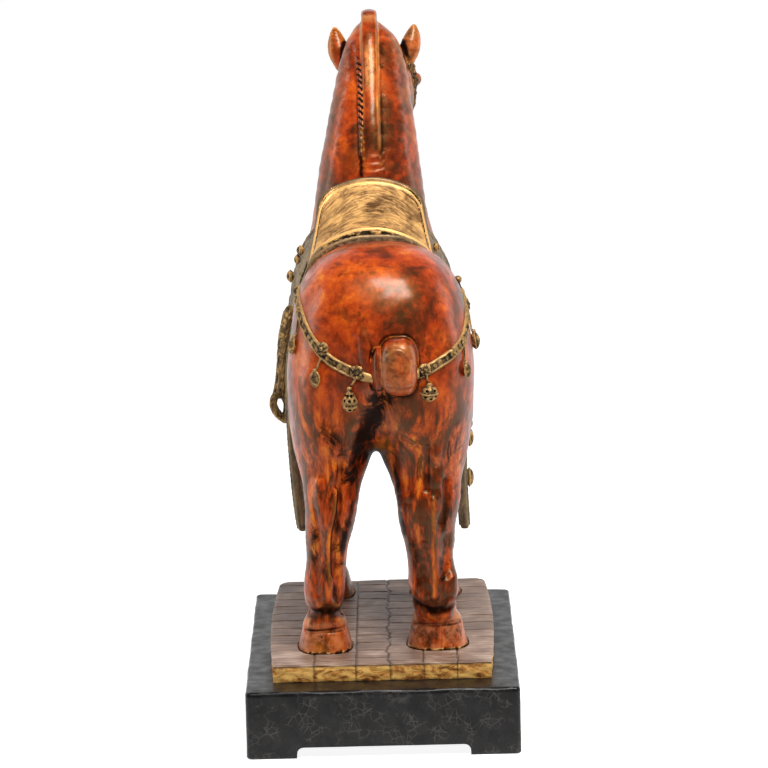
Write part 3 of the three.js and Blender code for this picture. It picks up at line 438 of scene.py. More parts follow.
def limb_of(points, depth=1.0, k=1.0):
    line = smoothed(points)
    line[:, 1] /= depth
    return line, depth, k, room_of(line)


def add_limb(d, p, limb):
    line, depth, k, room = limb
    squeezed = p if depth == 1 else p / np.array([[1], [depth], [1]])
    near = off(squeezed, room) < d + k
    if near.any():
        d[near] = blend(d[near], nearest(squeezed[:, near], line) * min(1, depth), k)


def hoof(p, form):
    cx, heel, toe, foot, top, height = form
    x, y, z = p
    t = np.clip(z / height, -0.2, 1.2)
    half = foot + (top - foot) * t
    front = toe - TOE_LEAN * height * t
    back = heel + HEEL_LEAN * height * t
    ex = np.abs(x - cx) / half
    ey = np.abs(y - (front + back) / 2) / ((front - back) / 2)
    side = ((ex**HOOF_SQUARENESS + ey**HOOF_SQUARENESS) ** (1 / HOOF_SQUARENESS) - 1) * half
    return np.maximum(meet(side, z - height, 8), SOLE - z)


def mane_ridge(p):
    return meet(nearest(p, MANE_LINE), np.abs(p[0] - MANE_X) - MANE_HALF, 1.6)


MANE_LINE = smoothed([(MANE_X, y, z, MANE_REACH) for y, z in MANE_ARC], 2)
BODY_LIMBS = [limb_of(*limb) for limb in LIMBS]
EAR_LIMBS = [limb_of(points, 0.8, 4) for points in EARS]
HOLLOW_LIMBS = [limb_of(points) for points in EAR_HOLLOWS]
HEAD_FORMS = [
    ((HEAD_X + side * x, y, z), radii, k)
    for (x, y, z), radii, k in HEAD_SIDES
    for side in (-1, 1)
] + HEAD_MIDDLE
HEAD_FOOT = 340  # the head's forms all lie over this height
REAR_END = -90  # and the tail's behind this


def with_head(d, p):
    for centre, radii, k in HEAD_FORMS:
        add_egg(d, p, centre, radii, k)
    for centre in NOSTRILS:
        cut_form(d, p, egg_room(centre, NOSTRIL_RADII), 2, lambda q: egg(q, centre, NOSTRIL_RADII))
    cut_form(d, p, room_of(np.array(MOUTH, float)), 2, lambda q: bone(q, *MOUTH))
    for limb in EAR_LIMBS:
        add_limb(d, p, limb)
    for line, _, _, room in HOLLOW_LIMBS:
        cut_form(d, p, room, 2, lambda q: nearest(q, line))
    add_form(d, p, room_of(MANE_LINE), 3, mane_ridge)
    return d


def with_tail(d, p):
    for a, b, k in TAIL_CLEFTS:
        cut_form(d, p, room_of(np.array([a, b], float)), k, lambda q: bone(q, a, b))
    for centre, radii, k, square in TAIL_EGGS:
        add_egg(d, p, centre, radii, k, square)
    return d


def skin(p):
    """The bare horse, before the fine carving"""
    d = empty(p, 60.0)
    for centre, radii, k, square in TRUNK:
        add_egg(d, p, centre, radii, k, square)
    for limb in BODY_LIMBS:
        add_limb(d, p, limb)
    for form in HOOVES:
        cx, heel, toe, foot, _, height = form
        room = np.array([cx - foot, heel, SOLE], float), np.array([cx + foot, toe, height], float)
        add_form(d, p, room, 5, lambda q: hoof(q, form))
    for inside, dress in ((p[2] > HEAD_FOOT, with_head), (p[1] < REAR_END, with_tail)):
        if inside.any():
            d[inside] = dress(d[inside], p[:, inside])
    return d


def slope(field, p, reach=0.4):
    """A field's slope, from four points round each point"""
    total = np.zeros_like(p)
    for corner in ((1, 1, 1), (1, -1, -1), (-1, 1, -1), (-1, -1, 1)):
        step = np.reshape(corner, (3, 1)) * reach
        total += np.sign(step) * field(p + step)
    return total / (4 * reach)


def settled(points, field, rounds=6):
    """Follows the field's slope until the points, given as rows, lie on its surface"""
    p = np.array(points, float)[:, :3].T
    for _ in range(rounds):
        g = slope(field, p)
        p -= field(p) * g / ((g * g).sum(0) + 1e-6)
    return p.T


RELIEF_REACH = 2.2  # a line of relief is felt to so many of its widths


def relief_line(points, width, height):
    line = settled(smoothed(points), skin)
    return line, width, height, room_of(line, RELIEF_REACH * width)


def on_both_sides(rows, middle=0):
    """Rows of relief drawn for the right, each at the left and at the right of a middle"""
    return [
        ([(middle + side * x, y, z) for x, y, z in points], width, height)
        for points, width, height in rows
        for side in (-1, 1)
    ]


RELIEF_ROWS = RELIEF + on_both_sides(RELIEF_BOTH) + on_both_sides(HEAD_RELIEF, HEAD_X)
CARVING = [relief_line(*row) for row in RELIEF_ROWS]
BRAID_LINE = smoothed(BRAID, 4)
BRAID_ROOM = room_of(BRAID_LINE, 4.0)
BRAID_PITCH = 5.7
BRAID_THIN, BRAID_FULL = 1.3, 1.1  # its radius in a nick, and what it gains between two
BAND_BACK = 14  # the bands' middles lie so far behind the mane's spine
BAND_SLANT, BAND_SAG = 0.25, 0.01
BAND_WIDTH, BAND_HEIGHT = 1.7, 0.6
WOBBLE = 0.28  # how uneven the carver's hand left the skin
CARVED_NEAR, UNEVEN_NEAR = 12, 8  # lines and unevenness are worked out only this near to the skin


def uneven(p):
    x, y, z = p
    broad = np.sin(x / 9.1 + 1.7 * np.sin(z / 23.0)) * np.sin(y / 8.3 + z / 17.0 + 0.6)
    fine = np.sin(x / 4.3 - y / 5.1 + 2.1 * np.sin(z / 11.0)) * np.sin(z / 5.7 + y / 7.7)
    return broad + 0.5 * fine


def carve_lines(d, p):
    for line, width, height, room in CARVING:
        near = (off(p, room) < 0) & (np.abs(d) < CARVED_NEAR)
        if near.any():
            away, _ = along(p[:, near], line)
            d[near] -= height * bump(away, width)


def braid_twist(p, place):
    """How full the braid is along its length, with a slanting nick between its strands"""
    return np.abs(np.sin(math.pi * (place + 0.9 * (p[0] - MANE_X)) / BRAID_PITCH)) ** 0.6


def add_braid(d, p):
    near = off(p, BRAID_ROOM) < 0
    if not near.any():
        return
    q = p[:, near]
    away, place = along(q, BRAID_LINE)
    d[near] = blend(d[near], away - BRAID_THIN - BRAID_FULL * braid_twist(q, place), 0.7)


def add_mane_bands(d, p):
    for spine, z in MANE_BANDS:
        behind = p[1] - spine + BAND_BACK
        near = (np.abs(p[2] - z) < 4) & (np.abs(p[0] - MANE_X) < 12) & (np.abs(behind) < 16)
        away = p[2] - z - BAND_SLANT * behind - BAND_SAG * p[0] ** 2
        d[near] -= BAND_HEIGHT * bump(away[near], BAND_WIDTH)


def horse(p):
    """The carved horse under its tack"""
    d = skin(p)
    carve_lines(d, p)
    near = np.abs(d) < UNEVEN_NEAR
    d[near] -= WOBBLE * uneven(p[:, near])
    add_braid(d, p)
    add_mane_bands(d, p)
    return d


def seat_height(y):
    ys, zs = SEAT_LINE.T
    i = np.clip(np.searchsorted(ys, y, side="right") - 1, 0, len(ys) - 2)
    t = np.clip((y - ys[i]) / (ys[i + 1] - ys[i]), 0, 1)
    return curved(t, zs[np.maximum(i - 1, 0)], zs[i], zs[i + 1], zs[np.minimum(i + 2, len(ys) - 1)])


def rounded_plan(u, v, half_u, half_v, corner):
    qu = np.abs(u) - half_u + corner
    qv = np.abs(v) - half_v + corner
    return np.hypot(np.maximum(qu, 0), np.maximum(qv, 0)) + np.minimum(np.maximum(qu, qv), 0) - corner


def saddle_plan(p):
    x, y, _ = p
    half = SEAT_HALF + SEAT_TAPER * (y - SEAT_ENDS[0])
    long = (SEAT_ENDS[1] - SEAT_ENDS[0]) / 2
    return rounded_plan(x - SADDLE_X, y - SEAT_ENDS[0] - long, half, long, SEAT_CORNER)


def scrolls(u, v):
    """A running vine in low relief, from -1 to 1"""
    stem = np.cos(u / 1.9 + 1.7 * np.sin(v / 1.6))
    leaf = np.cos(v / 1.3 + 1.9 * np.sin(u / 2.3 + 0.8))
    return np.clip(0.8 * stem + 0.8 * leaf, -1, 1)


def seat_level(p):
    """Height over the seat's surface, which goes on past the seat"""
    across = p[0] - SADDLE_X
    side = np.maximum(np.abs(across) - SKIRT_FROM, 0)
    return p[2] - seat_height(np.clip(p[1], *SEAT_ENDS)) + SEAT_CROWN * across**2 + SKIRT_FALL * side**2


def cantle_carving(p, level):
    """The gilded leaves on the face under the cantle"""
    return scrolls(p[0] / 1.4, level / 1.4) * ((level < -1.6) & (level > -13))


def saddle(p):
    x, y, _ = p
    across = x - SADDLE_X
    plan = saddle_plan(p)
    level = seat_level(p)
    front = rising(y, POMMEL_FROM, POMMEL_OVER)
    rise = RIM_PROUD * (bump(plan + RIM_IN, RIM_WIDTH) - bump(plan + GROOVE_IN, GROOVE_WIDTH))
    rise += (POMMEL_PROUD * front - 0.6) * rising(plan, 0.8, 0.9)
    arched = y + 0.006 * across**2 + 1.1 * np.sin(across / 7)
    strokes = np.sin(arched / STROKE_WIDTH) * np.sin(across / 3.1 + y / 2.2)
    rise += np.where(plan < -4, STROKE_DEPTH * strokes, 0)
    body = meet((level - rise) * SEAT_STEEP, plan - SEAT_EDGE - POMMEL_DEEP * front, 1.2)
    behind = (y < CANTLE_BACK) & (plan > 1)
    return body - np.where(behind, 0.7 * cantle_carving(p, level), 0)


def saddle_cloth(p, body):
    _, y, z = p
    long = (CLOTH_ENDS[1] - CLOTH_ENDS[0]) / 2
    ends = np.abs(y - CLOTH_ENDS[0] - long) - long
    hem = 0.9 * bump(ends + 1.6, 0.9) - 0.5 * bump(ends + 3.6, 0.7)
    sheet = meet(meet(body - CLOTH_PROUD - hem, ends, 1.2), CLOTH_FOOT - z, 3)
    return meet(sheet, seat_level(p) + CLOTH_UNDER_SEAT, 1)


FLAP_RODS = [smoothed([(x, 0, z, FLAP_RADIUS) for x, z in line]) for line in FLAP_LINES]


def flap_plan(p):
    middle, half = (FLAP_LOW + FLAP_HIGH) / 2, (FLAP_HIGH - FLAP_LOW) / 2
    wide = FLAP_HALF + FLAP_FLARE * (p[2] - FLAP_LOW)
    return rounded_plan(p[1] - FLAP_Y, p[2] - middle, wide, half, FLAP_CORNER)


def flap_relief(p, plan):
    """A raised border, a bead inside it and a carved medallion with scrolls on a flap's face"""
    y, z = p[1] - FLAP_Y, p[2]
    border = 1.5 * np.clip((2.6 - np.abs(plan + FLAP_BORDER)) / 0.8, 0, 1)
    bead = 0.8 * bump(plan + FLAP_BEAD, 0.9)
    r = np.hypot(y, (z - MEDALLION_Z) * 0.8)
    ring = bump(r - MEDALLION_R, 1.3) + 0.7 * bump(r - MEDALLION_R + 5, 1)
    petals = 1.1 * bump(r - 9 - 3.5 * np.cos(6 * np.arctan2(z - MEDALLION_Z, y)), 3.2)
    open_field = (plan < -FLAP_FIELD - 1) & (r > MEDALLION_R + 4)
    vine = 0.55 * scrolls(y / 1.7, z / 1.7) * open_field
    return border + bead + np.where(plan < -FLAP_FIELD, ring + petals, 0) + vine


def mud_flap(p, n):
    slab = np.stack([p[0], np.zeros_like(p[1]), p[2]])
    plan = flap_plan(p)
    outer = np.where((p[0] > 0) == (n == 1), 1.0, 0.0)
    d = nearest(slab, FLAP_RODS[n])
    near = (d > -3) & (d < 6)
    lift = np.zeros_like(d)
    lift[near] = flap_relief(p[:, near], plan[near]) * outer[near]
    grain = 0.12 * np.sin(p[2] / 0.9 + 2 * np.sin(p[1] / 9))
    return meet(meet(d + 0.9 - lift - grain, plan, 2), seat_level(p) + CLOTH_UNDER_SEAT, 2)


def shell(d, body, sink=2.5):
    """What a form adds outside the horse, sunk a little into it"""
    return np.maximum(d, -(body + sink))


def strap_line(points, steps=4):
    return settled(smoothed(points, steps), skin)


# Straps: their lines, their width and how far apart their studs are
CRUPPER_STRAPS = ([strap_line(points) for points in CRUPPER], 9.6, 6.6)
BREAST_STRAPS = ([strap_line(BREAST_STRAP)], 9.6, 7.6)
BRIDLE_STRAPS = ([strap_line(points, 3) for points in CHEEK_STRAPS + [NOSEBAND, BROWBAND]], 5.5, 5.4)
# Places and sizes on a strap, as shares of its width, and how far each thing stands out
STUD_SHARE, FLOWER_SHARE, RIDGE_SHARE, RIDGE_THIN = 0.24, 0.27, 0.41, 0.11
STRAP_PROUD, RIDGE_PROUD, STUD_PROUD, FLOWER_PROUD = 0.6, 1.9, 2.6, 0.4


def strap(p, body, line, width, pitch):
    """A flat strap with a ridge along each edge and studs between them"""
    near = off(p, room_of(line, width)) < 6
    d = empty(p)
    if near.any():
        away, place = along(p[:, near], line)
        t = (place % pitch) - pitch / 2
        stud = np.sqrt(np.maximum(0, 1 - (t**2 + away**2) / (STUD_SHARE * width) ** 2))
        flower = bump(np.hypot(t, away) - FLOWER_SHARE * width, 0.6)
        ridge = bump(away - RIDGE_SHARE * width, RIDGE_THIN * width)
        worn = 0.75 + 0.35 * np.sin(place / 5.3) * np.sin(place / 2.9 + 1)
        proud = STRAP_PROUD + worn * (RIDGE_PROUD * ridge + STUD_PROUD * stud) + FLOWER_PROUD * flower
        d[near] = meet(body[near] - proud, away - width / 2, 0.7)
    return d


class Mark:
    """A place on the skin for an ornament: its centre, and its own sideways, upward and outward directions"""

    def __init__(self, point, out=0.0):
        at = settled([point], skin)
        n = slope(skin, at.T)[:, 0]
        n /= np.linalg.norm(n)
        up = np.array([0, 0, 1.0]) - n * n[2]
        up /= np.linalg.norm(up)
        self.axes = np.array([np.cross(up, n), up, n])
        self.at = at[0] + n * out

    def local(self, p):
        return self.axes @ (p - self.at[:, None])


def drop(q, w, h):
    """An almond shaped pendant with a seam round it, hung from a cap"""
    d = egg(q, (0, 0, 0), (0.42 * w, 0.47 * h, 0.4 * w), 1.7)
    seam = egg(q, (0, 0, 0), (0.5 * w, 0.52 * h, 0.9), 1.8)
    cap = egg(q, (0, 0.5 * h, 0), (1.9, 1.5, 1.9))
    return blend(blend(d, seam, 0.8), cap, 0.8)


# Holes of the bells, as shares of their width and height, and how many petals a rosette has
ROUND_HOLES = [(-0.22, 0.2), (0.22, 0.2), (0, -0.24), (-0.3, -0.12), (0.3, -0.12)]
PEAR_HOLE_ROWS = [(-0.32, 0.3), (-0.16, 0.44), (0.02, 0.36), (0.2, 0.22)]
HOLES_IN_ROW = 7
PETALS = 6


def round_bell(q, w, h):
    d = egg(q, (0, 0, 0), (0.48 * w, 0.48 * h, 0.46 * w))
    seam = np.maximum(np.abs(q[1]) - 0.55, np.hypot(q[0], q[2]) - 0.52 * w)
    d = blend(d, seam, 0.6)
    cap = egg(q, (0, 0.5 * h, 0), (2.6, 2.0, 2.6))
    d = blend(d, cap, 0.8)
    for u, v in ROUND_HOLES:
        d = meet(d, -egg(q, (u * w, v * h, 0.42 * w), (1.15, 1.15, 4)), 0.4)
    return d


def pear_bell(q, w, h):
    """A pierced bell, narrow above and round below"""
    d = egg(q, (0, -0.14 * h, 0), (0.46 * w, 0.33 * h, 0.42 * w))
    d = blend(d, egg(q, (0, 0.16 * h, 0), (0.24 * w, 0.32 * h, 0.24 * w)), 4)
    for row, (v, r) in enumerate(PEAR_HOLE_ROWS):
        for n in range(HOLES_IN_ROW):
            a = 2 * math.pi * (n + 0.5 * (row % 2)) / HOLES_IN_ROW
            centre = (r * w * math.sin(a), v * h, r * w * math.cos(a))
            d = meet(d, -egg(q, centre, (1.25, 1.5, 1.25)), 0.5)
    return blend(d, egg(q, (0, 0.48 * h, 0), (2.2, 1.6, 2.2)), 0.8)


def rosette(q, w, h):
    d = egg(q, (0, 0, 0), (0.2 * w, 0.2 * w, 0.26 * w))
    wedge = 2 * math.pi / PETALS
    folded = np.mod(np.arctan2(q[1], q[0]), wedge) - wedge / 2
    r = np.hypot(q[0], q[1])
    turned = np.stack([r * np.cos(folded), r * np.sin(folded), q[2]])
    petal = egg(turned, (0.33 * w, 0, -0.2), (0.18 * w, 0.15 * w, 0.2 * w))
    plate = egg(q, (0, 0, -0.6), (0.5 * w, 0.5 * h, 1.6), 2.6)
    return blend(np.minimum(d, petal), plate, 0.6)


def knob(q, w, h):
    return egg(q, (0, 0, 0), (w / 2, h / 2, w / 2))


# Ornaments: kind, a point near the skin, width, height, how far out its middle is
REAR_ORNAMENTS = [
    (drop, (-69.6, -106, 277), 9, 17, 2.4), (rosette, (-45, -135, 279.5), 12, 12, 1.4),
    (drop, (-50.5, -133, 253), 11, 15.5, 3.0), (rosette, (-15.5, -144, 260), 12, 12, 1.6),
    (pear_bell, (-22, -141, 236), 15, 23, 3.6), (rosette, (43, -141, 260), 11, 11, 1.4),
    (round_bell, (45.5, -140, 240), 15.5, 15.5, 4.0), (drop, (77.4, -116, 254), 10, 14, 2.8),
    (drop, (85, -74, 272), 11, 17, 3.0), (rosette, (82, -64, 303), 11, 11, 1.6),
    (knob, (78, -52, 325), 7, 7, 1.0), (rosette, (67, -125, 271), 9, 9, 1.2),
    (rosette, (-66, -104, 308), 9, 9, 1.2), (knob, (-68, -58, 318), 7, 7, 1.2),
    (rosette, (77, -112, 279), 9, 9, 1.2),
]
REAR_LINKS = [
    ((-66, -107, 303), (-69, -107, 287)), ((-46, -135, 272), (-50, -134, 262)),
    ((-17, -144, 254), (-21, -143, 248)), ((44, -141, 256), (45, -141, 249)),
    ((77, -112, 276), (77.5, -115, 262)), ((83, -68, 299), (85, -73, 281)),
]
FRONT_ORNAMENTS = [(pear_bell, (0, 147, 256), 14, 20, 3.4), (rosette, (0, 147, 277), 13, 13, 1.6)]
FRONT_LINKS = [((0, 147, 272), (0, 147, 264))]
for side in (-1, 1):
    FRONT_ORNAMENTS += [
        (drop, (side * 50, 118, 268), 11, 16, 2.6), (drop, (side * 26, 141, 260), 11, 17, 2.6),
        (rosette, (side * 51, 114, 287), 10, 10, 1.4), (rosette, (side * 27, 140, 279), 10, 10, 1.4),
    ]
    FRONT_LINKS += [
        ((side * 50, 117, 283), (side * 50, 118, 276)), ((side * 26, 141, 275), (side * 26, 141, 268)),
    ]
HEAD_ORNAMENTS = [
    (rosette, (-17, 135, 491), 8.5, 8.5, 1.2), (rosette, (38, 135, 489), 9, 9, 1.2),
    (rosette, (10, 160, 503), 7, 7, 1.0), (rosette, (-6, 152, 421), 7, 7, 1.0),
    (rosette, (29, 152, 421), 7, 7, 1.0),
]


def ornament_set(rows, links):
    marks = []
    for kind, point, w, h, out in rows:
        mark = Mark(point, out)
        marks.append((kind, mark, w, h, (mark.at - 0.8 * max(w, h), mark.at + 0.8 * max(w, h))))
    rods = []
    for a, b in links:
        ends = settled([a, b], skin)
        normals = slope(skin, ends.T).T
        ends += 1.4 * normals / np.linalg.norm(normals, axis=1)[:, None]
        rods.append(np.column_stack([ends, [0.9, 0.9]]))
    return marks, rods


def add_ornaments(d, p, ornaments):
    marks, rods = ornaments
    for kind, mark, w, h, room in marks:
        near = off(p, room) < 2
        if near.any():
            d[near] = np.minimum(d[near], kind(mark.local(p[:, near]), w, h))
    for rod in rods:
        add_form(d, p, room_of(rod), 0.8, lambda q: nearest(q, rod))


REAR_SET = ornament_set(REAR_ORNAMENTS, REAR_LINKS)
FRONT_SET = ornament_set(FRONT_ORNAMENTS, FRONT_LINKS)
HEAD_SET = ornament_set(HEAD_ORNAMENTS, [])


def strap_field(lines, width, pitch, ornaments):
    """The field of some straps and of what hangs from them"""
    def field(p):
        body = horse(p)
        d = empty(p)
        for line in lines:
            d = np.minimum(d, strap(p, body, line, width, pitch))
        add_ornaments(d, p, ornaments)
        return shell(d, body)
    return field


def saddle_field(p):
    return shell(saddle(p), horse(p), 3)


def cloth_field(p):
    body = horse(p)
    return shell(saddle_cloth(p, body), body, 2)


STRAND_LIMBS = [limb_of(points) for points in STRANDS]


def tied_cloth_field(p):
    d = empty(p)
    for limb in STRAND_LIMBS:
        add_limb(d, p, limb)
    add_egg(d, p, *KNOT, 1)
    folds = np.sin((p[0] + 0.8 * p[1] - 0.12 * p[2]) / 0.42)
    return d - 0.3 * folds


def bead_field(rows):
    """The field of some beads, each with a rim round it"""
    def field(p):
        d = empty(p)
        for centre, radii in rows:
            add_egg(d, p, centre, radii, 0.8)
            rim = (radii[0] * 0.5, radii[1] + 0.9, radii[2] + 0.9)
            add_egg(d, p, centre, rim, 0.5)
        return d
    return field


# Meshing: one vertex for each sheet of surface in each cell, two triangles for each crossed grid edge
CORNERS = np.array([(i & 1, i >> 1 & 1, i >> 2) for i in range(8)])
EDGES = [(a, a | axis) for a in range(8) for axis in (1, 2, 4) if not a & axis]
EDGE_AT = {pair: e for e, (a, b) in enumerate(EDGES) for pair in ((a, b), (b, a))}


def face_rings():
    for axis in (1, 2, 4):
        u, v = [other for other in (1, 2, 4) if other != axis]
        for base in (0, axis):
            yield base, base | u, base | u | v, base | v


def sheets_of(pattern):
    """Which sheet of surface each of a cell's edges belongs to, or -1"""
    label = [e if (pattern >> a ^ pattern >> b) & 1 else -1 for e, (a, b) in enumerate(EDGES)]
    for face in face_rings():
        ring = [EDGE_AT[face[i], face[(i + 1) % 4]] for i in range(4)]
        cut = [e for e in ring if label[e] >= 0]
        pairs = [cut] if len(cut) == 2 else []
        if len(cut) == 4:
            pairs = [(ring[i], ring[(i + 3) % 4]) for i in range(4) if pattern >> face[i] & 1]
        for a, b in pairs:
            label = [label[a] if value == label[b] else value for value in label]
    names = sorted(set(label) - {-1})
    return [names.index(value) if value >= 0 else -1 for value in label]


SHEET = np.array([sheets_of(pattern) for pattern in range(256)])
SHEETS = SHEET.max(1) + 1
BLOCK = 4  # cells across a block
BLOCK_REACH = 1.45  # a block is worked out finely within so many of its widths of the surface
CHUNK = 400000  # points worked out at a time


def sampled(field, room, step):
    """The field on a grid, worked out finely only in blocks near the surface"""
    low = np.array(room[0], float)
    blocks = np.ceil((np.array(room[1]) - low) / step / BLOCK).astype(int) + 1
    middles = np.stack(np.meshgrid(*[np.arange(n) for n in blocks], indexing="ij")).reshape(3, -1)
    coarse = field(low[:, None] + (middles * BLOCK + BLOCK / 2 - 0.5) * step)
    values = coarse.astype(np.float32).reshape(blocks)
    for axis in range(3):
        values = np.repeat(values, BLOCK, axis)
    near = middles[:, np.abs(coarse) < step * BLOCK * BLOCK_REACH]
    inner = np.stack(np.meshgrid(*[np.arange(BLOCK)] * 3, indexing="ij")).reshape(3, 1, -1)
    at = (near[:, :, None] * BLOCK + inner).reshape(3, -1)
    for start in range(0, at.shape[1], CHUNK):
        part = at[:, start : start + CHUNK]
        values[tuple(part)] = field(low[:, None] + part * step)
    return values, low


def net_points(values, patterns, low, step):
    """The middle of each sheet of surface in each cell, and which of them is each cell's first"""
    flat = patterns.ravel()
    cells = np.flatnonzero((flat != 0) & (flat != 255))
    kinds = flat[cells]
    count = SHEETS[kinds]
    first = np.cumsum(count) - count
    place = np.stack(np.unravel_index(cells, patterns.shape), 1)
    sums = np.zeros((count.sum(), 3))
    hits = np.zeros((count.sum(), 1))
    for e, (a, b) in enumerate(EDGES):
        on = SHEET[kinds, e] >= 0
        at = first[on] + SHEET[kinds[on], e]
        pa, pb = place[on] + CORNERS[a], place[on] + CORNERS[b]
        va, vb = values[tuple(pa.T)], values[tuple(pb.T)]
        sums[at] += pa + (va / (va - vb))[:, None] * (pb - pa)
        hits[at] += 1
    first_of = np.zeros(flat.size, np.int64)
    first_of[cells] = first
    return low + step * sums / hits, first_of


def net_quads(inside, patterns, first_of, axis):
    """The four points round each grid edge along an axis where the surface crosses it"""
    u, v = (axis + 1) % 3, (axis + 2) % 3
    here, ahead = [slice(1, -1)] * 3, [slice(1, -1)] * 3
    ahead[axis] = slice(2, None)
    at = np.argwhere(inside[tuple(here)] != inside[tuple(ahead)]) + 1
    flat = patterns.ravel()
    ring = []
    for du, dv in ((0, 0), (1, 0), (1, 1), (0, 1)):
        cell = at.copy()
        cell[:, u] -= du
        cell[:, v] -= dv
        number = np.ravel_multi_index(cell.T, patterns.shape)
        start = (du << u) | (dv << v)
        ring.append(first_of[number] + SHEET[flat[number], EDGE_AT[start, start | 1 << axis]])
    ring = np.stack(ring, 1)
    outward = inside[tuple(at.T)]
    return np.concatenate([ring[outward], ring[~outward][:, ::-1]])


def halved(quads, points):
    """Two triangles for each quad, cut along its shorter diagonal"""
    a, b, c, d = (points[quads[:, i]] for i in range(4))
    straight = ((a - c) ** 2).sum(1) < ((b - d) ** 2).sum(1)
    first_half = np.where(straight[:, None], quads[:, [0, 1, 2]], quads[:, [1, 2, 3]])
    second_half = np.where(straight[:, None], quads[:, [0, 2, 3]], quads[:, [1, 3, 0]])
    return np.concatenate([first_half, second_half])


def surface_net(values, low, step):
    """The points and triangles of the surface where sampled values pass zero"""
    inside = values < 0
    shape = np.array(values.shape) - 1
    patterns = np.zeros(shape, np.uint8)
    for bit, (i, j, k) in enumerate(CORNERS):
        patterns |= inside[i : shape[0] + i, j : shape[1] + j, k : shape[2] + k].astype(np.uint8) << bit
    points, first_of = net_points(values, patterns, low, step)
    quads = np.concatenate([net_quads(inside, patterns, first_of, axis) for axis in range(3)])
    return points, halved(quads, points)


def mesh_of(name, points, faces):
    mesh = bpy.data.meshes.new(name)
    mesh.from_pydata(points, [], faces)
    mesh.update()
    return mesh


def placed(name, data):
    """A new object in the scene"""
    piece = bpy.data.objects.new(name, data)
    bpy.context.scene.collection.objects.link(piece)
    return piece


def applied(piece):
    """The mesh that an object's modifiers make of it, with the object itself taken away"""
    graph = bpy.context.evaluated_depsgraph_get()
    made = bpy.data.meshes.new_from_object(piece.evaluated_get(graph))
    bpy.data.objects.remove(piece)
    return made


def thinned(mesh, most):
    """Folds a mesh's edges until it has at most so many triangles"""
    count = sum(len(face.vertices) - 2 for face in mesh.polygons)
    if count <= most:
        return mesh
    holder = placed("thinning", mesh)
    holder.modifiers.new("folding", "DECIMATE").ratio = most / count
    return applied(holder)


def store(mesh, name, values):
    mesh.attributes.new(name, "FLOAT", "POINT").data.foreach_set("value", values.astype(np.float32))


def coordinates(mesh):
    """A mesh's points, in rows of x, y and z"""
    p = np.zeros(len(mesh.vertices) * 3)
    mesh.vertices.foreach_get("co", p)
    return p.reshape(-1, 3).T.copy()


def smooth_faces(mesh):
    """Shades a mesh's faces as one curved surface"""
    mesh.polygons.foreach_set("use_smooth", np.ones(len(mesh.polygons), bool))


SOLES = np.array([[0], [0], [horse_low.z]])
SLOPE_SHARE, SHIFT_SHARE = 0.35, 0.5  # of a cell: a slope's reach, and how far a point may move
REACHES = (2.5, 7, 20)  # how far out from the surface its hollows are felt


def carved(name, field, room, cell, most=190000, flat_sole=False):
    """A closed mesh of a field, its normals and how hollow and how sharp its surface is at each point"""
    step = cell * COARSER
    points, faces = surface_net(*sampled(field, room, step), step)
    mesh = thinned(mesh_of(name, points.tolist(), faces.tolist()), most / COARSER**2)
    p = coordinates(mesh)
    g = slope(field, p, SLOPE_SHARE * cell)
    steep = (g * g).sum(0) + 1e-3
    p -= np.clip(field(p), -SHIFT_SHARE * cell, SHIFT_SHARE * cell) * g / steep
    n = g / np.sqrt(steep)
    near, middle, far = (1 - field(p + reach * n) / reach for reach in REACHES)
    sharp = 1 + field(p - REACHES[0] * n) / REACHES[0]
    if flat_sole:
        p[2] = np.maximum(p[2], 0)
        n[:, p[2] <= 0] = np.array([[0], [0], [-1]])
    mesh.vertices.foreach_set("co", (p * METRES + SOLES).T.ravel())
    smooth_faces(mesh)
    for key, values in (("hollow", np.maximum(near, middle)), ("sharp", sharp), ("shade", far)):
        store(mesh, key, np.clip(values, 0, 1))
    mesh.update()
    mesh.normals_split_custom_set_from_vertices(n.T.tolist())
    return mesh


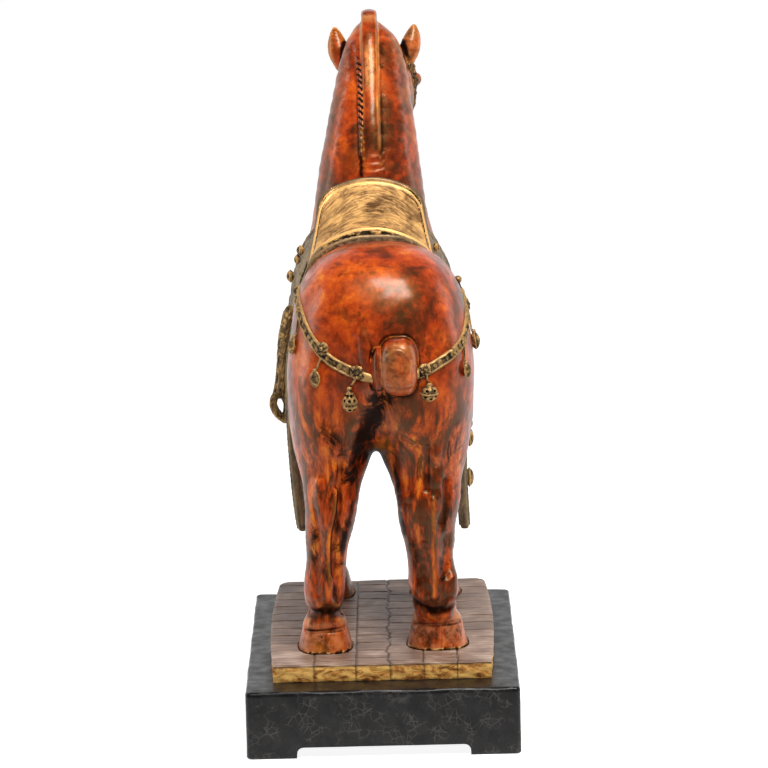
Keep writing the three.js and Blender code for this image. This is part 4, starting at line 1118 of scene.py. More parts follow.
# Materials
class Paint:
    """A material's nodes, made and linked in one call each"""

    def __init__(self, name):
        self.material = bpy.data.materials.new(name)
        self.material.use_nodes = True
        self.tree = self.material.node_tree
        self.shader = self.tree.nodes["Principled BSDF"]
        self.place = self.node("ShaderNodeTexCoord").outputs["Object"]

    def node(self, kind, inputs=None, **settings):
        made = self.tree.nodes.new(kind)
        for key, value in settings.items():
            setattr(made, key, value)
        for key, value in (inputs or {}).items():
            self.feed(made.inputs[key], value)
        return made

    def feed(self, socket, value):
        if isinstance(value, bpy.types.NodeSocket):
            self.tree.links.new(value, socket)
        else:
            socket.default_value = value

    def set(self, **values):
        for key, value in values.items():
            self.feed(self.shader.inputs[key.replace("_", " ")], value)

    def stretched(self, x, y, z, vector=None):
        values = {0: self.place if vector is None else vector, 1: (x, y, z)}
        return self.node("ShaderNodeVectorMath", values, operation="MULTIPLY").outputs[0]

    def noise(self, size, detail=4.0, rough=0.55, warp=0.0, vector=None):
        """Noise with features of about the given size in millimetres, from 0 to 1"""
        values = {
            "Vector": self.place if vector is None else vector,
            "Scale": 1000 / size,
            "Detail": detail,
            "Roughness": rough,
            "Distortion": warp,
        }
        return self.node("ShaderNodeTexNoise", values).outputs["Fac"]

    def cells(self, size, **settings):
        """Cells of about the given size in millimetres"""
        return self.node("ShaderNodeTexVoronoi", {"Vector": self.place, "Scale": 1000 / size}, **settings)

    def cracks(self, size):
        """Distance to the edge of such cells"""
        return self.cells(size, feature="DISTANCE_TO_EDGE").outputs["Distance"]

    def ramp(self, value, places, colours):
        made = self.node("ShaderNodeValToRGB", {"Fac": value})
        elements = made.color_ramp.elements
        while len(elements) < len(places):
            elements.new(0.5)
        for element, place, colour in zip(elements, places, colours):
            element.position = place
            element.color = (*colour, 1)
        return made.outputs["Color"]

    def span(self, value, low, high, to_low=0.0, to_high=1.0):
        values = {"Value": value, "From Min": low, "From Max": high, "To Min": to_low, "To Max": to_high}
        return self.node("ShaderNodeMapRange", values, interpolation_type="SMOOTHSTEP").outputs["Result"]

    def reckon(self, operation, a, b, clamp=False):
        return self.node("ShaderNodeMath", {0: a, 1: b}, operation=operation, use_clamp=clamp).outputs[0]

    def sum(self, a, b):
        return self.reckon("ADD", a, b)

    def times(self, a, b):
        return self.reckon("MULTIPLY", a, b, True)

    def mix(self, amount, a, b):
        made = self.node("ShaderNodeMix", data_type="RGBA")
        self.feed(made.inputs["Factor"], amount)
        colours = [s for s in made.inputs if s.type == "RGBA"]
        for socket, value in zip(colours, (a, b)):
            self.feed(socket, (*value, 1) if isinstance(value, tuple) else value)
        return [s for s in made.outputs if s.type == "RGBA"][0]

    def layered(self, colour, *layers):
        """A colour with others laid over it, each given with how much of it there is"""
        for amount, over in layers:
            colour = self.mix(amount, colour, over)
        return colour

    def attribute(self, name):
        return self.node("ShaderNodeAttribute", attribute_name=name).outputs["Fac"]

    def axis(self, letter):
        return self.node("ShaderNodeSeparateXYZ", {0: self.place}).outputs[letter]

    def relief(self, height, strength, depth, normal=None):
        values = {"Height": height, "Strength": strength, "Distance": depth / 1000}
        if normal is not None:
            values["Normal"] = normal
        return self.node("ShaderNodeBump", values).outputs["Normal"]


# The lacquer's tones from dark to light, placed for the body's soft blotches and the legs' hard streaks
UMBER = (0.008, 0.002, 0.001)
DARK = (0.040, 0.006, 0.002)
REDS = (DARK, (0.17, 0.016, 0.003), (0.33, 0.032, 0.004), (0.50, 0.069, 0.005), (0.66, 0.200, 0.018))
SOFT_PLACES = (0.36, 0.44, 0.51, 0.59, 0.70)
HARD_PLACES = (0.42, 0.47, 0.51, 0.56, 0.65)
RUBBED = (0.78, 0.27, 0.030)
# The colour of the painted highlights on the ears, mane and tail knot
PAINTED_HIGHLIGHT = (0.80, 0.33, 0.10)
HOOF_RED = (0.62, 0.19, 0.075)
BARE_GROUND = (0.62, 0.38, 0.12)
GLINT, DULL_GLINT = (1.0, 0.55, 0.15), (0.10, 0.04, 0.02)
# Spans of height over the soles, in metres
LEGS_END = (0.205, 0.265)
NECK_START = (0.355, 0.395)
HOOF_TOP = (0.024, 0.032)
SCRAPED_EDGE = (0.0008, 0.0026)


def red_lacquer():
    """Old red lacquer: soft blotches on the body, streaks down the legs, near black in what lies deep, with
    painted shade where forms close in and painted highlights on the ears, mane and tail knot
    """
    paint = Paint("red_lacquer")

    def height(span, below, above):
        return paint.span(paint.axis("Z"), horse_low.z + span[0], horse_low.z + span[1], below, above)

    low = height(LEGS_END, 1, 0)
    blotched = paint.noise(36, 5, 0.56, 0.5, paint.stretched(-1, 1, 1))
    streaked = paint.noise(14, 6, 0.62, 0.9, paint.stretched(1, 1, 0.24))
    broad = paint.mix(low, blotched, streaked)
    fine_body = paint.noise(6, 5, 0.65, 0.4)
    fine_legs = paint.noise(4.2, 5, 0.65, 0.4, paint.stretched(1, 1, 0.3))
    fine = paint.mix(low, fine_body, fine_legs)
    tone = paint.sum(paint.mix(0.33, broad, fine), height(NECK_START, 0, -0.045))
    colour = paint.mix(low, paint.ramp(tone, SOFT_PLACES, REDS), paint.ramp(tone, HARD_PLACES, REDS))
    glaze = paint.noise(20, 6, 0.68, 1.0, paint.stretched(1, 1, 0.5))
    glazed = paint.times(paint.span(glaze, 0.49, 0.61), paint.span(low, 0, 1, 0.6, 0.9))
    edges = paint.span(paint.attribute("sharp"), 0.06, 0.30)
    worn = paint.times(edges, paint.span(broad, 0.40, 0.56, 0.35, 0.9))
    # Painted highlights on the ears, the mane's ridge and crown and the tail's knot
    pale = paint.times(paint.attribute("pale"), paint.span(fine_body, 0.35, 0.6, 0.3, 1))
    hoof_patch = paint.times(height(HOOF_TOP, 0.7, 0), paint.span(paint.noise(11, 6, 0.72), 0.40, 0.62))
    # Painted shade, mottled, darkens the lacquer to umber where forms close in and along the painted shade
    # lines
    mottled = paint.times(paint.attribute("shade"), paint.span(glaze, 0.38, 0.62, 0.35, 1.35))
    shade = paint.span(mottled, 0.12, 0.78)
    deep = paint.span(paint.attribute("hollow"), 0.14, 0.50)
    scraped = paint.times(height(SCRAPED_EDGE, 1, 0), paint.span(paint.noise(7, 5, 0.7), 0.46, 0.52))
    colour = paint.layered(colour, (glazed, DARK), (worn, RUBBED), (pale, PAINTED_HIGHLIGHT), (hoof_patch, HOOF_RED))
    colour = paint.layered(colour, (shade, UMBER), (deep, UMBER), (scraped, BARE_GROUND))
    dull = paint.reckon("MAXIMUM", deep, shade)
    rough = paint.span(paint.noise(9, 5), 0.3, 0.7, 0.36, 0.50)
    hairline = paint.relief(paint.noise(1.1, 3, 0.6, 0.3, paint.stretched(1, 1, 0.5)), 0.10, 0.12)
    dents = paint.relief(paint.noise(7, 4, 0.6), 0.22, 0.5, hairline)
    paint.set(Base_Color=colour, Roughness=rough, Normal=dents)
    paint.set(Specular_IOR_Level=0.55, Specular_Tint=paint.mix(dull, GLINT, DULL_GLINT))
    coat = paint.times(paint.span(dull, 0.05, 0.7, 0.42, 0.0), paint.span(low, 0, 1, 1, 0.6))
    paint.set(Coat_Weight=coat, Coat_Roughness=0.18, Coat_IOR=1.45)
    return paint.material


GOLD = (0.68, 0.38, 0.125)
GOLD_DEEP = (0.016, 0.009, 0.005)
SEAT_GOLD = (0.86, 0.47, 0.155)
SEAT_TONES = ((0.11, 0.045, 0.014), (0.44, 0.235, 0.085), SEAT_GOLD)
SEAT_DEEP = (0.022, 0.014, 0.008)
SEAT_ARCH = 6.0  # how fast the brushed strokes bend, for the distance from the middle squared
LIT_LENGTH = 0.035  # metres from the seat's rear over which a painted highlight makes it lighter
OLIVE = (0.125, 0.086, 0.048)


def gilded(name, bright, dull, dark, wear, grain=None, metal=0.35):
    """Old gold paint: dull gold, rubbed bright on what stands out and dark in what lies deep"""
    paint = Paint(name)
    vector = paint.stretched(*grain) if grain else None
    patch = paint.noise(5, 5, 0.62, 0.5, vector)
    colour = paint.ramp(patch, (0.38, 0.49, 0.62), (dark, dull, bright))
    rubbed = paint.times(paint.span(paint.attribute("sharp"), 0.12, 0.5), wear)
    deep = paint.span(paint.attribute("hollow"), 0.14, 0.60)
    colour = paint.layered(colour, (rubbed, bright), (deep, GOLD_DEEP))
    shine = paint.span(deep, 0.0, 0.8, metal, 0.0)
    rough = paint.span(paint.noise(3, 4), 0.3, 0.7, 0.34, 0.55)
    scratches = paint.relief(paint.noise(1.0, 4, 0.6, 0.2, vector), 0.25, 0.18)
    paint.set(Base_Color=colour, Metallic=shine, Roughness=rough, Normal=scratches)
    paint.set(Specular_IOR_Level=0.3, Specular_Tint=(1.0, 0.78, 0.5, 1))
    return paint.material


def tack_gilding():
    return gilded("tack_gilding", (0.50, 0.29, 0.105), (0.120, 0.070, 0.029), (0.022, 0.013, 0.008), 0.7)


def bridle_gilding():
    return gilded("bridle_gilding", (0.20, 0.115, 0.045), (0.040, 0.024, 0.013), (0.012, 0.007, 0.005), 0.5)


def cloth_gilding():
    return gilded("cloth_gilding", (0.32, 0.20, 0.095), OLIVE, (0.055, 0.038, 0.025), 0.8, (1, 0.4, 1), 0.3)


def flap_gilding():
    tones = (0.26, 0.18, 0.095), (0.14, 0.108, 0.072), (0.060, 0.044, 0.030)
    return gilded("flap_gilding", *tones, 0.8, (1, 1, 0.3), 0.3)


def seat_gilding():
    """The seat's gold, brushed in arching strokes, with its rim and the grey band outside it"""
    paint = Paint("seat_gilding")
    x = paint.axis("X")
    seat_rear = SEAT_ENDS[0] * METRES
    arch = paint.reckon("MULTIPLY", paint.reckon("MULTIPLY", x, x), SEAT_ARCH)
    bent = paint.sum(paint.axis("Y"), arch)
    strokes = paint.node("ShaderNodeCombineXYZ", {0: x, 1: bent, 2: 0.0}).outputs[0]
    fibres = paint.noise(2.6, 6, 0.68, 1.6, paint.stretched(0.16, 1, 1, strokes))
    tone = paint.mix(0.45, fibres, paint.noise(20, 5, 0.6, 0.6))
    # A painted highlight makes the seat lighter near its rear
    lit = paint.span(bent, seat_rear, seat_rear + LIT_LENGTH, 0.08, -0.02)
    colour = paint.ramp(paint.sum(tone, lit), (0.40, 0.48, 0.56), SEAT_TONES)
    leaf = paint.times(paint.attribute("leaf"), paint.span(paint.noise(9, 3), 0.40, 0.52))
    deep = paint.span(paint.attribute("hollow"), 0.25, 0.6)
    colour = paint.layered(colour, (paint.attribute("rim"), SEAT_GOLD), (paint.attribute("outer"), OLIVE))
    colour = paint.layered(colour, (paint.attribute("under"), SEAT_DEEP), (leaf, GOLD), (deep, UMBER))
    shine = paint.span(deep, 0.0, 0.8, 0.3, 0.0)
    scratches = paint.relief(fibres, 0.5, 0.35)
    paint.set(Base_Color=colour, Metallic=shine, Roughness=0.42, Normal=scratches)
    paint.set(Specular_Tint=(1.0, 0.8, 0.5, 1))
    return paint.material


STONE_TONES = ((0.12, 0.070, 0.047), (0.25, 0.158, 0.112), (0.50, 0.36, 0.275))
LEAF_TONES = ((0.17, 0.075, 0.020), (0.62, 0.25, 0.048), (0.98, 0.58, 0.16))
SEAM_DARK = (0.016, 0.011, 0.008)


def slab_paint():
    """Dull grey brown paving on top, gold leaf on the faces, both dark in their seams"""
    paint = Paint("slab_gilding")
    grain = paint.noise(2.4, 5, 0.62, 0.3, paint.stretched(0.12, 1, 1))
    tone = paint.mix(0.45, grain, paint.noise(32, 4, 0.5, 0.3))
    stone = paint.ramp(tone, (0.36, 0.5, 0.62), STONE_TONES)
    leaf_patch = paint.noise(6, 6, 0.68, 0.8, paint.stretched(0.5, 1, 1))
    leaf = paint.ramp(leaf_patch, (0.36, 0.45, 0.55), LEAF_TONES)
    face = paint.attribute("leaf")
    colour = paint.layered(stone, (face, leaf), (paint.attribute("seam"), SEAM_DARK))
    rough = paint.span(grain, 0.3, 0.7, 0.38, 0.55)
    shine = paint.times(face, 0.25)
    scratches = paint.relief(grain, 0.35, 0.3)
    dents = paint.relief(leaf_patch, 0.3, 0.6, scratches)
    paint.set(Base_Color=colour, Metallic=shine, Roughness=rough, Normal=dents)
    return paint.material


BLACKS = ((0.004, 0.0037, 0.0037), (0.010, 0.0092, 0.0092))
SHARD_BLACK = (0.015, 0.0135, 0.013)
# Painted highlights along some cracks' edges, and the dark of the others
CRACK_HIGHLIGHT, CRACK_DARK = (0.048, 0.042, 0.038), (0.004, 0.004, 0.004)
CRACKLE, WIDE_CRACKLE = 7.2, 15  # millimetres between cracks


def black_lacquer():
    """Black lacquer, brushed on top and crackled all over its sides, with painted highlights along some of
    the cracks
    """
    paint = Paint("black_lacquer")
    cracks = paint.span(paint.cracks(CRACKLE), 0.0, 0.055, 1, 0)
    wide_cracks = paint.span(paint.cracks(WIDE_CRACKLE), 0.0, 0.03, 1, 0)
    side = paint.span(paint.axis("Z"), plinth_high.z - 0.0012, plinth_high.z - 0.0004, 1, 0)
    line = paint.times(paint.sum(cracks, wide_cracks), side)
    colour = paint.ramp(paint.noise(45, 5, 0.6, 0.4), (0.35, 0.65), BLACKS)
    shards = paint.cells(CRACKLE).outputs["Color"]
    shard = paint.times(paint.span(shards, 0.3, 0.8), paint.times(side, 0.55))
    patches = paint.noise(16, 3)
    # Painted highlights along the cracks in some patches, dark cracks in the others
    pale = paint.times(line, paint.span(patches, 0.38, 0.62))
    dark = paint.times(line, paint.span(patches, 0.56, 0.44))
    colour = paint.layered(colour, (shard, SHARD_BLACK), (pale, CRACK_HIGHLIGHT), (dark, CRACK_DARK))
    brushed = paint.noise(2.6, 4, 0.6, 0.2, paint.stretched(1, 0.15, 1))
    rough = paint.span(paint.noise(12, 4), 0.3, 0.7, 0.27, 0.42)
    scratches = paint.relief(brushed, 0.22, 0.3)
    dents = paint.relief(paint.noise(14, 4), 0.3, 0.8, scratches)
    crackle = paint.relief(line, -0.55, 0.35, dents)
    paint.set(Base_Color=colour, Roughness=rough, Normal=crackle, Specular_IOR_Level=0.26)
    return paint.material


# Pieces
def show(name, mesh, material, slot, *nodes):
    piece = placed(name, mesh)
    mesh.materials.append(material)
    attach(piece, "root")
    if nodes:
        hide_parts(*nodes)


def drawn(mesh):
    """A mesh's points in drawn millimetres"""
    return (coordinates(mesh) - SOLES) / METRES


def reworked(mesh, name, change):
    values = np.zeros(len(mesh.vertices))
    mesh.attributes[name].data.foreach_get("value", values)
    mesh.attributes[name].data.foreach_set("value", np.clip(change(values), 0, 1))


def marked(p, rows):
    """The strongest mark at each point, from rows of points near the skin, width and strength"""
    strongest = np.zeros(p.shape[1])
    for points, width, strength in rows:
        away, _ = along(p, settled(smoothed(points), skin))
        strongest = np.maximum(strongest, strength * bump(away, width))
    return strongest


# The narrow ridges of the hind legs, which are rubbed along their tops
RUBBED_RIDGES = [
    (points, 0.9 * width, 0.3)
    for points, width, height in RELIEF
    if height > 1.5 and width < 4 and points[0][1] < 0 and 45 < points[0][2] < 200
]
SHADE_TOP = 360  # over this height the lacquer isn't darker where the forms close in
SHADE_STRENGTH = 0.75


def painted_highlight_areas(p):
    """Painted highlights, lighter lacquer where light would catch: on the ears, the mane's ridge and crown,
    and the tail's knot
    """
    x, y, z = p
    ears = rising(np.abs(x), 31, 5) * rising(z, 455, 18)
    ridge = rising(z, 474, 12) * falling(z, 522, 12) * falling(np.abs(x - MANE_X), 5, 2)
    crown = rising(z, 534, 8)
    tail = falling(y, -154, 4) * rising(z, 240, 8)
    return 0.22 * ears + falling(y, 112, 6) * (0.6 * ridge + 0.5 * crown) + 0.2 * tail


def make_horse():
    room = ((-100, -172, -9), (100, 184, 552))
    mesh = carved("horse_body", horse, room, 1.5, flat_sole=True)
    p = drawn(mesh)
    # Near black painted shade along the listed lines
    painted_shade = marked(p, PAINTED_SHADE_LINES)
    rubbed = marked(p, RUBBED_RIDGES)
    away, place = along(p, BRAID_LINE)
    quiet = 0.4 + 0.6 * rising(away, 2.5, 3)
    nicks = 1.5 * (1 - braid_twist(p, place)) * falling(away, 3.4, 1.4) * rising(p[2], 436, 20)
    # Painted shade where the forms close in, weaker up high, joined with the near black painted shade lines
    lower = SHADE_STRENGTH * falling(p[2], SHADE_TOP, 60)
    reworked(mesh, "sharp", lambda values: np.maximum(values * quiet, rubbed))
    reworked(mesh, "hollow", lambda values: np.maximum(values * quiet, nicks))
    reworked(mesh, "shade", lambda values: np.maximum(values * lower, painted_shade))
    # Where the lacquer gets painted highlights
    store(mesh, "pale", painted_highlight_areas(p))
    show("horse_body", mesh, red_lacquer(), "red_lacquer", "horse")


def make_saddle():
    mesh = carved("saddle", saddle_field, ((-74, -52, 318), (70, 54, 414)), 1.0, 150000)
    p = drawn(mesh)
    plan = saddle_plan(p)
    level = seat_level(p)
    behind = (p[1] < CANTLE_BACK) & (plan > 1) & (level < -0.8)
    store(mesh, "rim", bump(plan + RIM_IN, 1.2))
    store(mesh, "outer", np.clip((plan - 1.0) / 0.7, 0, 1) * (p[1] > SEAT_ENDS[0]))
    store(mesh, "under", behind)
    store(mesh, "leaf", np.clip(0.3 + 1.5 * cantle_carving(p, level), 0, 1) * behind)
    show("saddle", mesh, seat_gilding(), "gilding")


def darken_recess(mesh, lines, width, pitch):
    """Makes a strap dark between its raised borders and round its studs"""
    p = drawn(mesh)
    recess = np.zeros(p.shape[1])
    for line in lines:
        away, place = along(p, line)
        t = (place % pitch) - pitch / 2
        worn = 0.75 + 0.4 * np.sin(place / 4.1) * np.sin(place / 1.7 + 1)
        between = worn * rising(np.hypot(t, away), 0.2 * width, 0.7)
        recess = np.maximum(recess, between * falling(away, 0.34 * width, 0.8))
    recess *= 0.6 * falling(skin(p), 2.4, 1.0)
    reworked(mesh, "hollow", lambda values: np.maximum(values, recess))


def gilded_piece(name, field, room, cell, most, material, straps=None):
    """Carves and shows one piece of the tack, and darkens its straps where it has any"""
    mesh = carved(name, field, room, cell, most)
    if straps:
        darken_recess(mesh, *straps)
    show(name, mesh, material, "gilding")


def make_cloth():
    room = ((-84, -54, 256), (84, 54, 404))
    gilded_piece("saddle_cloth", cloth_field, room, 1.3, 90000, cloth_gilding())


def make_flaps():
    gilding = flap_gilding()
    for n, (side, low, high) in enumerate((("left", -90, -40), ("right", 36, 92))):
        room = ((low, -54, 86), (high, 60, 362))
        gilded_piece(f"mud_flap_{side}", lambda p: mud_flap(p, n), room, 1.25, 70000, gilding)


def make_crupper(gilding):
    field = strap_field(*CRUPPER_STRAPS, REAR_SET)
    room = ((-88, -160, 218), (96, -38, 336))
    gilded_piece("crupper", field, room, 0.75, 130000, gilding, CRUPPER_STRAPS)


def make_breast_strap(gilding):
    field = strap_field(*BREAST_STRAPS, FRONT_SET)
    room = ((-76, 36, 238), (76, 162, 316))
    gilded_piece("breast_strap", field, room, 0.8, 90000, gilding, BREAST_STRAPS)


def make_bridle():
    field = strap_field(*BRIDLE_STRAPS, HEAD_SET)
    gilded_piece("bridle", field, ((-32, 122, 408), (54, 184, 514)), 0.75, 60000, bridle_gilding())


def make_tied_cloth(gilding):
    gilded_piece("tied_cloth", tied_cloth_field, ((-99, -24, 182), (-66, 14, 302)), 0.7, 50000, gilding)


def make_beads(gilding):
    left_room, right_room = ((-82, -26, 312), (-56, -10, 356)), ((48, -22, 118), (90, 14, 356))
    gilded_piece("left_beads", bead_field(LEFT_BEADS), left_room, 0.6, 20000, gilding)
    gilded_piece("right_beads", bead_field(RIGHT_BEADS), right_room, 0.6, 30000, gilding)


def make_tack():
    gilding = tack_gilding()
    make_cloth()
    make_flaps()
    make_crupper(gilding)
    make_breast_strap(gilding)
    make_bridle()
    make_tied_cloth(gilding)
    make_beads(gilding)


# The ground slab: a grid over its outline, its edge taken down in rings and closed below
JOINT_SHARES = (0.19, 0.38, 0.53, 0.69, 0.845)
SLAB_BULGE = 5
SLAB_CORNER = 12
BLOCK_LENGTH = 27
BLOCK_SHIFTS = (0.0, 11.0, 4.0, 16.0, 7.0, 20.0)  # how far each lane's blocks are moved along
PAVING_DOWN, FACE_DOWN = 0.34, 0.6  # how far under the box's top the paving lies and the faces start
JOINT_DEPTH, JOINT_SHARE = 0.9, 0.8  # a joint's depth, and how much of it goes on down the faces
EDGE_DEPTH, EDGE_WIDTH = 0.8, 1.2  # the paving's worn edge
FACE_WAVE, FACE_IN, FACE_JOINT = 0.35, 0.45, 0.7  # how the faces lie in from the box
FOOT_IN = 0.8
RINGS_APART = 1.3  # between the rings down the faces
SLAB_CELL = 1.15


def slab_seams(x, y, half):
    """How strongly each point lies on a joint, and how deep the joint is"""
    deep = np.zeros_like(x)
    lanes = [-half - 20] + [half * (2 * share - 1) for share in JOINT_SHARES] + [half + 20]
    for n, at in enumerate(lanes[1:-1]):
        bend = 0.3 * (np.sin(y / 5.3 + 2 * n) + 0.7 * np.sin(y / 2.1 + n))
        if n == 2:
            bend = 1.1 * np.round(np.sin(y / 13.7) + 0.8 * np.sin(y / 6.1 + 2) + 0.4 * np.sin(y / 2.3)) + bend
        deep = np.maximum(deep, bump(x - at - bend, 0.85 if n == 2 else 0.7))
    for n, (left, right) in enumerate(zip(lanes, lanes[1:])):
        inside = (x > left) & (x < right)
        wave = 0.45 * np.sin(x / 6.1 + 3 * n) + 0.25 * np.sin(x / 2.3)
        t = (y + BLOCK_SHIFTS[n] + wave) % BLOCK_LENGTH - BLOCK_LENGTH / 2
        wear = 0.8 + 0.3 * np.sin(y / 31 + 1.9 * n + x / 19)
        deep = np.maximum(deep, inside * wear * bump(t, 0.75))
    return deep


def slab_top(half, back, front, top):
    """A grid of points over the slab's top, and how deep in a joint each of them is"""
    middle = (back + front) / 2
    columns = int(2 * half / (SLAB_CELL * COARSER))
    rows = int((front - back) / (SLAB_CELL * COARSER))
    u, v = np.meshgrid(np.linspace(-1, 1, columns + 1), np.linspace(0, 1, rows + 1), indexing="ij")
    y = back + (front - back) * v
    bulge = SLAB_BULGE * (1 - ((y - middle) / (front - middle)) ** 2)
    into = np.maximum(y - (front - SLAB_CORNER), 0)
    corner = SLAB_CORNER - np.sqrt(np.maximum(SLAB_CORNER**2 - into**2, 0))
    wide = half + bulge - corner
    x = u * wide
    edge = np.minimum(np.minimum(y - back, front - y), wide - np.abs(x))
    seam = slab_seams(x, y, half)
    grain = 0.10 * np.sin(y / 0.9 + 1.5 * np.sin(x / 13)) + 0.22 * np.sin(x / 17 + y / 23) * np.sin(y / 12)
    z = top - PAVING_DOWN - JOINT_DEPTH * seam + grain - EDGE_DEPTH * bump(edge, EDGE_WIDTH)
    return np.stack([x, y, z], -1), seam


def slab_mesh():
    low, high = np.array(slab_low) * 1000, np.array(slab_high) * 1000
    half = high[0] - SLAB_BULGE
    back, front, base, top = low[1], high[1], low[2], high[2]
    middle = (back + front) / 2
    grid, seam = slab_top(half, back, front, top)
    number = np.arange(seam.size).reshape(seam.shape)
    a, b, c, d = number[:-1, :-1], number[1:, :-1], number[1:, 1:], number[:-1, 1:]
    faces = [np.stack([a, b, c, d], -1).reshape(-1, 4)]
    loop = np.concatenate([number[:, 0], number[-1, 1:], number[-2::-1, -1], number[0, -2:0:-1]])
    points, seams, leaf = [grid.reshape(-1, 3)], [seam.ravel()], [np.zeros(seam.size)]
    rim = points[0][loop]
    across, ahead = rim[:, 0], rim[:, 1] - middle
    on_end = np.abs(ahead) > front - middle - 0.5
    on_side = ~on_end & (np.abs(across) > half - SLAB_CORNER)
    outward = np.stack([np.sign(across) * on_side, np.sign(ahead) * on_end], 1)
    rim_seam = JOINT_SHARE * seam.ravel()[loop]
    start = top - FACE_DOWN
    levels = int((top - base) / RINGS_APART)
    previous = loop
    for n in range(1, levels + 1):
        z = start - (start - base) * n / levels
        wave = FACE_WAVE * np.sin(across / 4.7 + z / 2.9) * np.sin(rim[:, 1] / 6.1 + z / 2.1)
        push = np.minimum(0, wave - FACE_IN - FACE_JOINT * rim_seam)
        if n == levels:
            push[:] = -FOOT_IN
        points.append(np.column_stack([rim[:, :2] + outward * push[:, None], np.full(len(loop), z)]))
        seams.append(rim_seam)
        leaf.append(np.full(len(loop), min(1.0, n / 2)))
        here = seam.size + (n - 1) * len(loop) + np.arange(len(loop))
        faces.append(np.stack([np.roll(previous, -1), previous, here, np.roll(here, -1)], -1))
        previous = here
    all_faces = np.concatenate(faces).tolist() + [previous[::-1].tolist()]
    mesh = mesh_of("ground_slab_paved", (np.concatenate(points) / 1000).tolist(), all_faces)
    store(mesh, "seam", np.clip(np.concatenate(seams), 0, 1))
    store(mesh, "leaf", np.concatenate(leaf))
    return mesh


# The plinth: rings up its sides and over its top, with the open ways between its feet cut out
PLINTH_CORNER = 5
PLINTH_BEVEL = 1.5
FOOT_SIZE = 44
FOOT_HEIGHT = 10
FOOT_FILLET = 6
PLINTH_CELL = 3.0
FACE_PULL = 0.28  # how far in the unevenness of the sides goes
TOP_WEAR, INNER_WEAR = 0.45, 0.35  # how low the top is worn at its edge, and the share of it further in
TOP_RINGS = 14  # rings inward over the plinth's top before one face closes it


def rounded_ring(half_x, half_y, radius, per_x, per_y, per_corner=5):
    """A rectangle's outline with rounded corners, as points in rows"""
    centres = np.array([(1, -1), (1, 1), (-1, 1), (-1, -1)]) * (half_x - radius, half_y - radius)
    points = []
    for n in range(4):
        for i in range(per_corner + 1):
            a = math.pi / 2 * (n - 1 + i / per_corner)
            points.append(centres[n] + radius * np.array([math.cos(a), math.sin(a)]))
        count = per_x if n % 2 else per_y
        end = points[-1]
        side = centres[(n + 1) % 4] - centres[n]
        points += [end + side * i / count for i in range(1, count)]
    return np.array(points)


def channel(name, wide, long, turned):
    """The open way between two feet, with rounded upper edges"""
    half, past = wide / 2, 5
    profile = [(-half, -past), (half, -past)]
    for n in range(14):
        a = math.pi / 12 * (n - n // 7)
        side = 1 if n < 7 else -1
        profile.append((side * (half - FOOT_FILLET) + FOOT_FILLET * math.cos(a),
                        FOOT_HEIGHT - FOOT_FILLET + FOOT_FILLET * math.sin(a)))
    count = len(profile)
    points = []
    for end in (-long / 2, long / 2):
        points += [(end, u, w) if turned else (u, end, w) for u, w in profile]
    faces = [(i, (i + 1) % count, (i + 1) % count + count, i + count) for i in range(count)]
    faces += [tuple(range(count))[::-1], tuple(range(count, 2 * count))]
    if not turned:
        faces = [face[::-1] for face in faces]
    return placed(name, mesh_of(name, [(x / 1000, y / 1000, z / 1000) for x, y, z in points], faces))


def plinth_mesh():
    half_x, half_y = plinth_high.x * 1000, plinth_high.y * 1000
    top = plinth_high.z * 1000
    cell = PLINTH_CELL * COARSER
    per_x, per_y = int(2 * half_x / cell), int(2 * half_y / cell)
    sides = [(PLINTH_BEVEL, 0.0)]
    sides += [(0.0, z) for z in np.linspace(PLINTH_BEVEL, top - PLINTH_BEVEL, int(top / cell))]
    sides += [(0.5 * PLINTH_BEVEL, top - 0.35 * PLINTH_BEVEL)]
    sides += [(PLINTH_BEVEL + cell * n, top) for n in range(TOP_RINGS)]
    rings = []
    for inset, z in sides:
        ring = rounded_ring(half_x - inset, half_y - inset, max(PLINTH_CORNER - inset, 1.0), per_x, per_y)
        x, y = ring.T
        wave = np.sin(x / 13 + z / 9 + 1) * np.sin(y / 17 - z / 11)
        wave += 0.6 * np.sin(x / 5.1 - y / 6.3 + z / 4.7)
        lift = np.full(len(ring), z)
        if z > 0.5 * top:
            worn = TOP_WEAR * (1 + np.sin(x / 11 + 2.2) * np.sin(y / 9))
            near_edge = 1.0 if inset < 2 * PLINTH_BEVEL else INNER_WEAR
            lift -= near_edge * worn * (z > top - 2 * PLINTH_BEVEL)
        pull = FACE_PULL * (1.6 + wave) / 1.6 * (z >= 1 and inset < PLINTH_BEVEL)
        centre = ring / np.maximum(np.abs(ring) / np.array([half_x, half_y]), 1e-6).max(1)[:, None]
        side = np.abs(ring) >= np.array([half_x, half_y]) - inset - 0.01
        ring = ring - np.sign(centre) * side * pull[:, None]
        rings.append(np.column_stack([ring, lift]))
    count = len(rings[0])
    faces = []
    for n in range(len(rings) - 1):
        a = n * count + np.arange(count)
        faces.append(np.stack([a, np.roll(a, -1), np.roll(a, -1) + count, a + count], -1))
    last = (len(rings) - 1) * count + np.arange(count)
    all_faces = np.concatenate(faces).tolist() + [last.tolist(), list(range(count))[::-1]]
    return mesh_of("plinth_lacquered", (np.concatenate(rings) / 1000).tolist(), all_faces)


def cut_plinth(mesh):
    half_x, half_y = plinth_high.x * 1000, plinth_high.y * 1000
    block = placed("plinth_block", mesh)
    cutters = [
        channel("lengthwise_channel", 2 * (half_x - FOOT_SIZE), 2 * half_y + 20, False),
        channel("cross_channel", 2 * (half_y - FOOT_SIZE), 2 * half_x + 20, True),
    ]
    for cutter in cutters:
        cut = block.modifiers.new(cutter.name, "BOOLEAN")
        cut.object = cutter
        cut.operation = "DIFFERENCE"
        cut.solver = "EXACT"
    made = applied(block)
    for cutter in cutters:
        bpy.data.objects.remove(cutter)
    return made


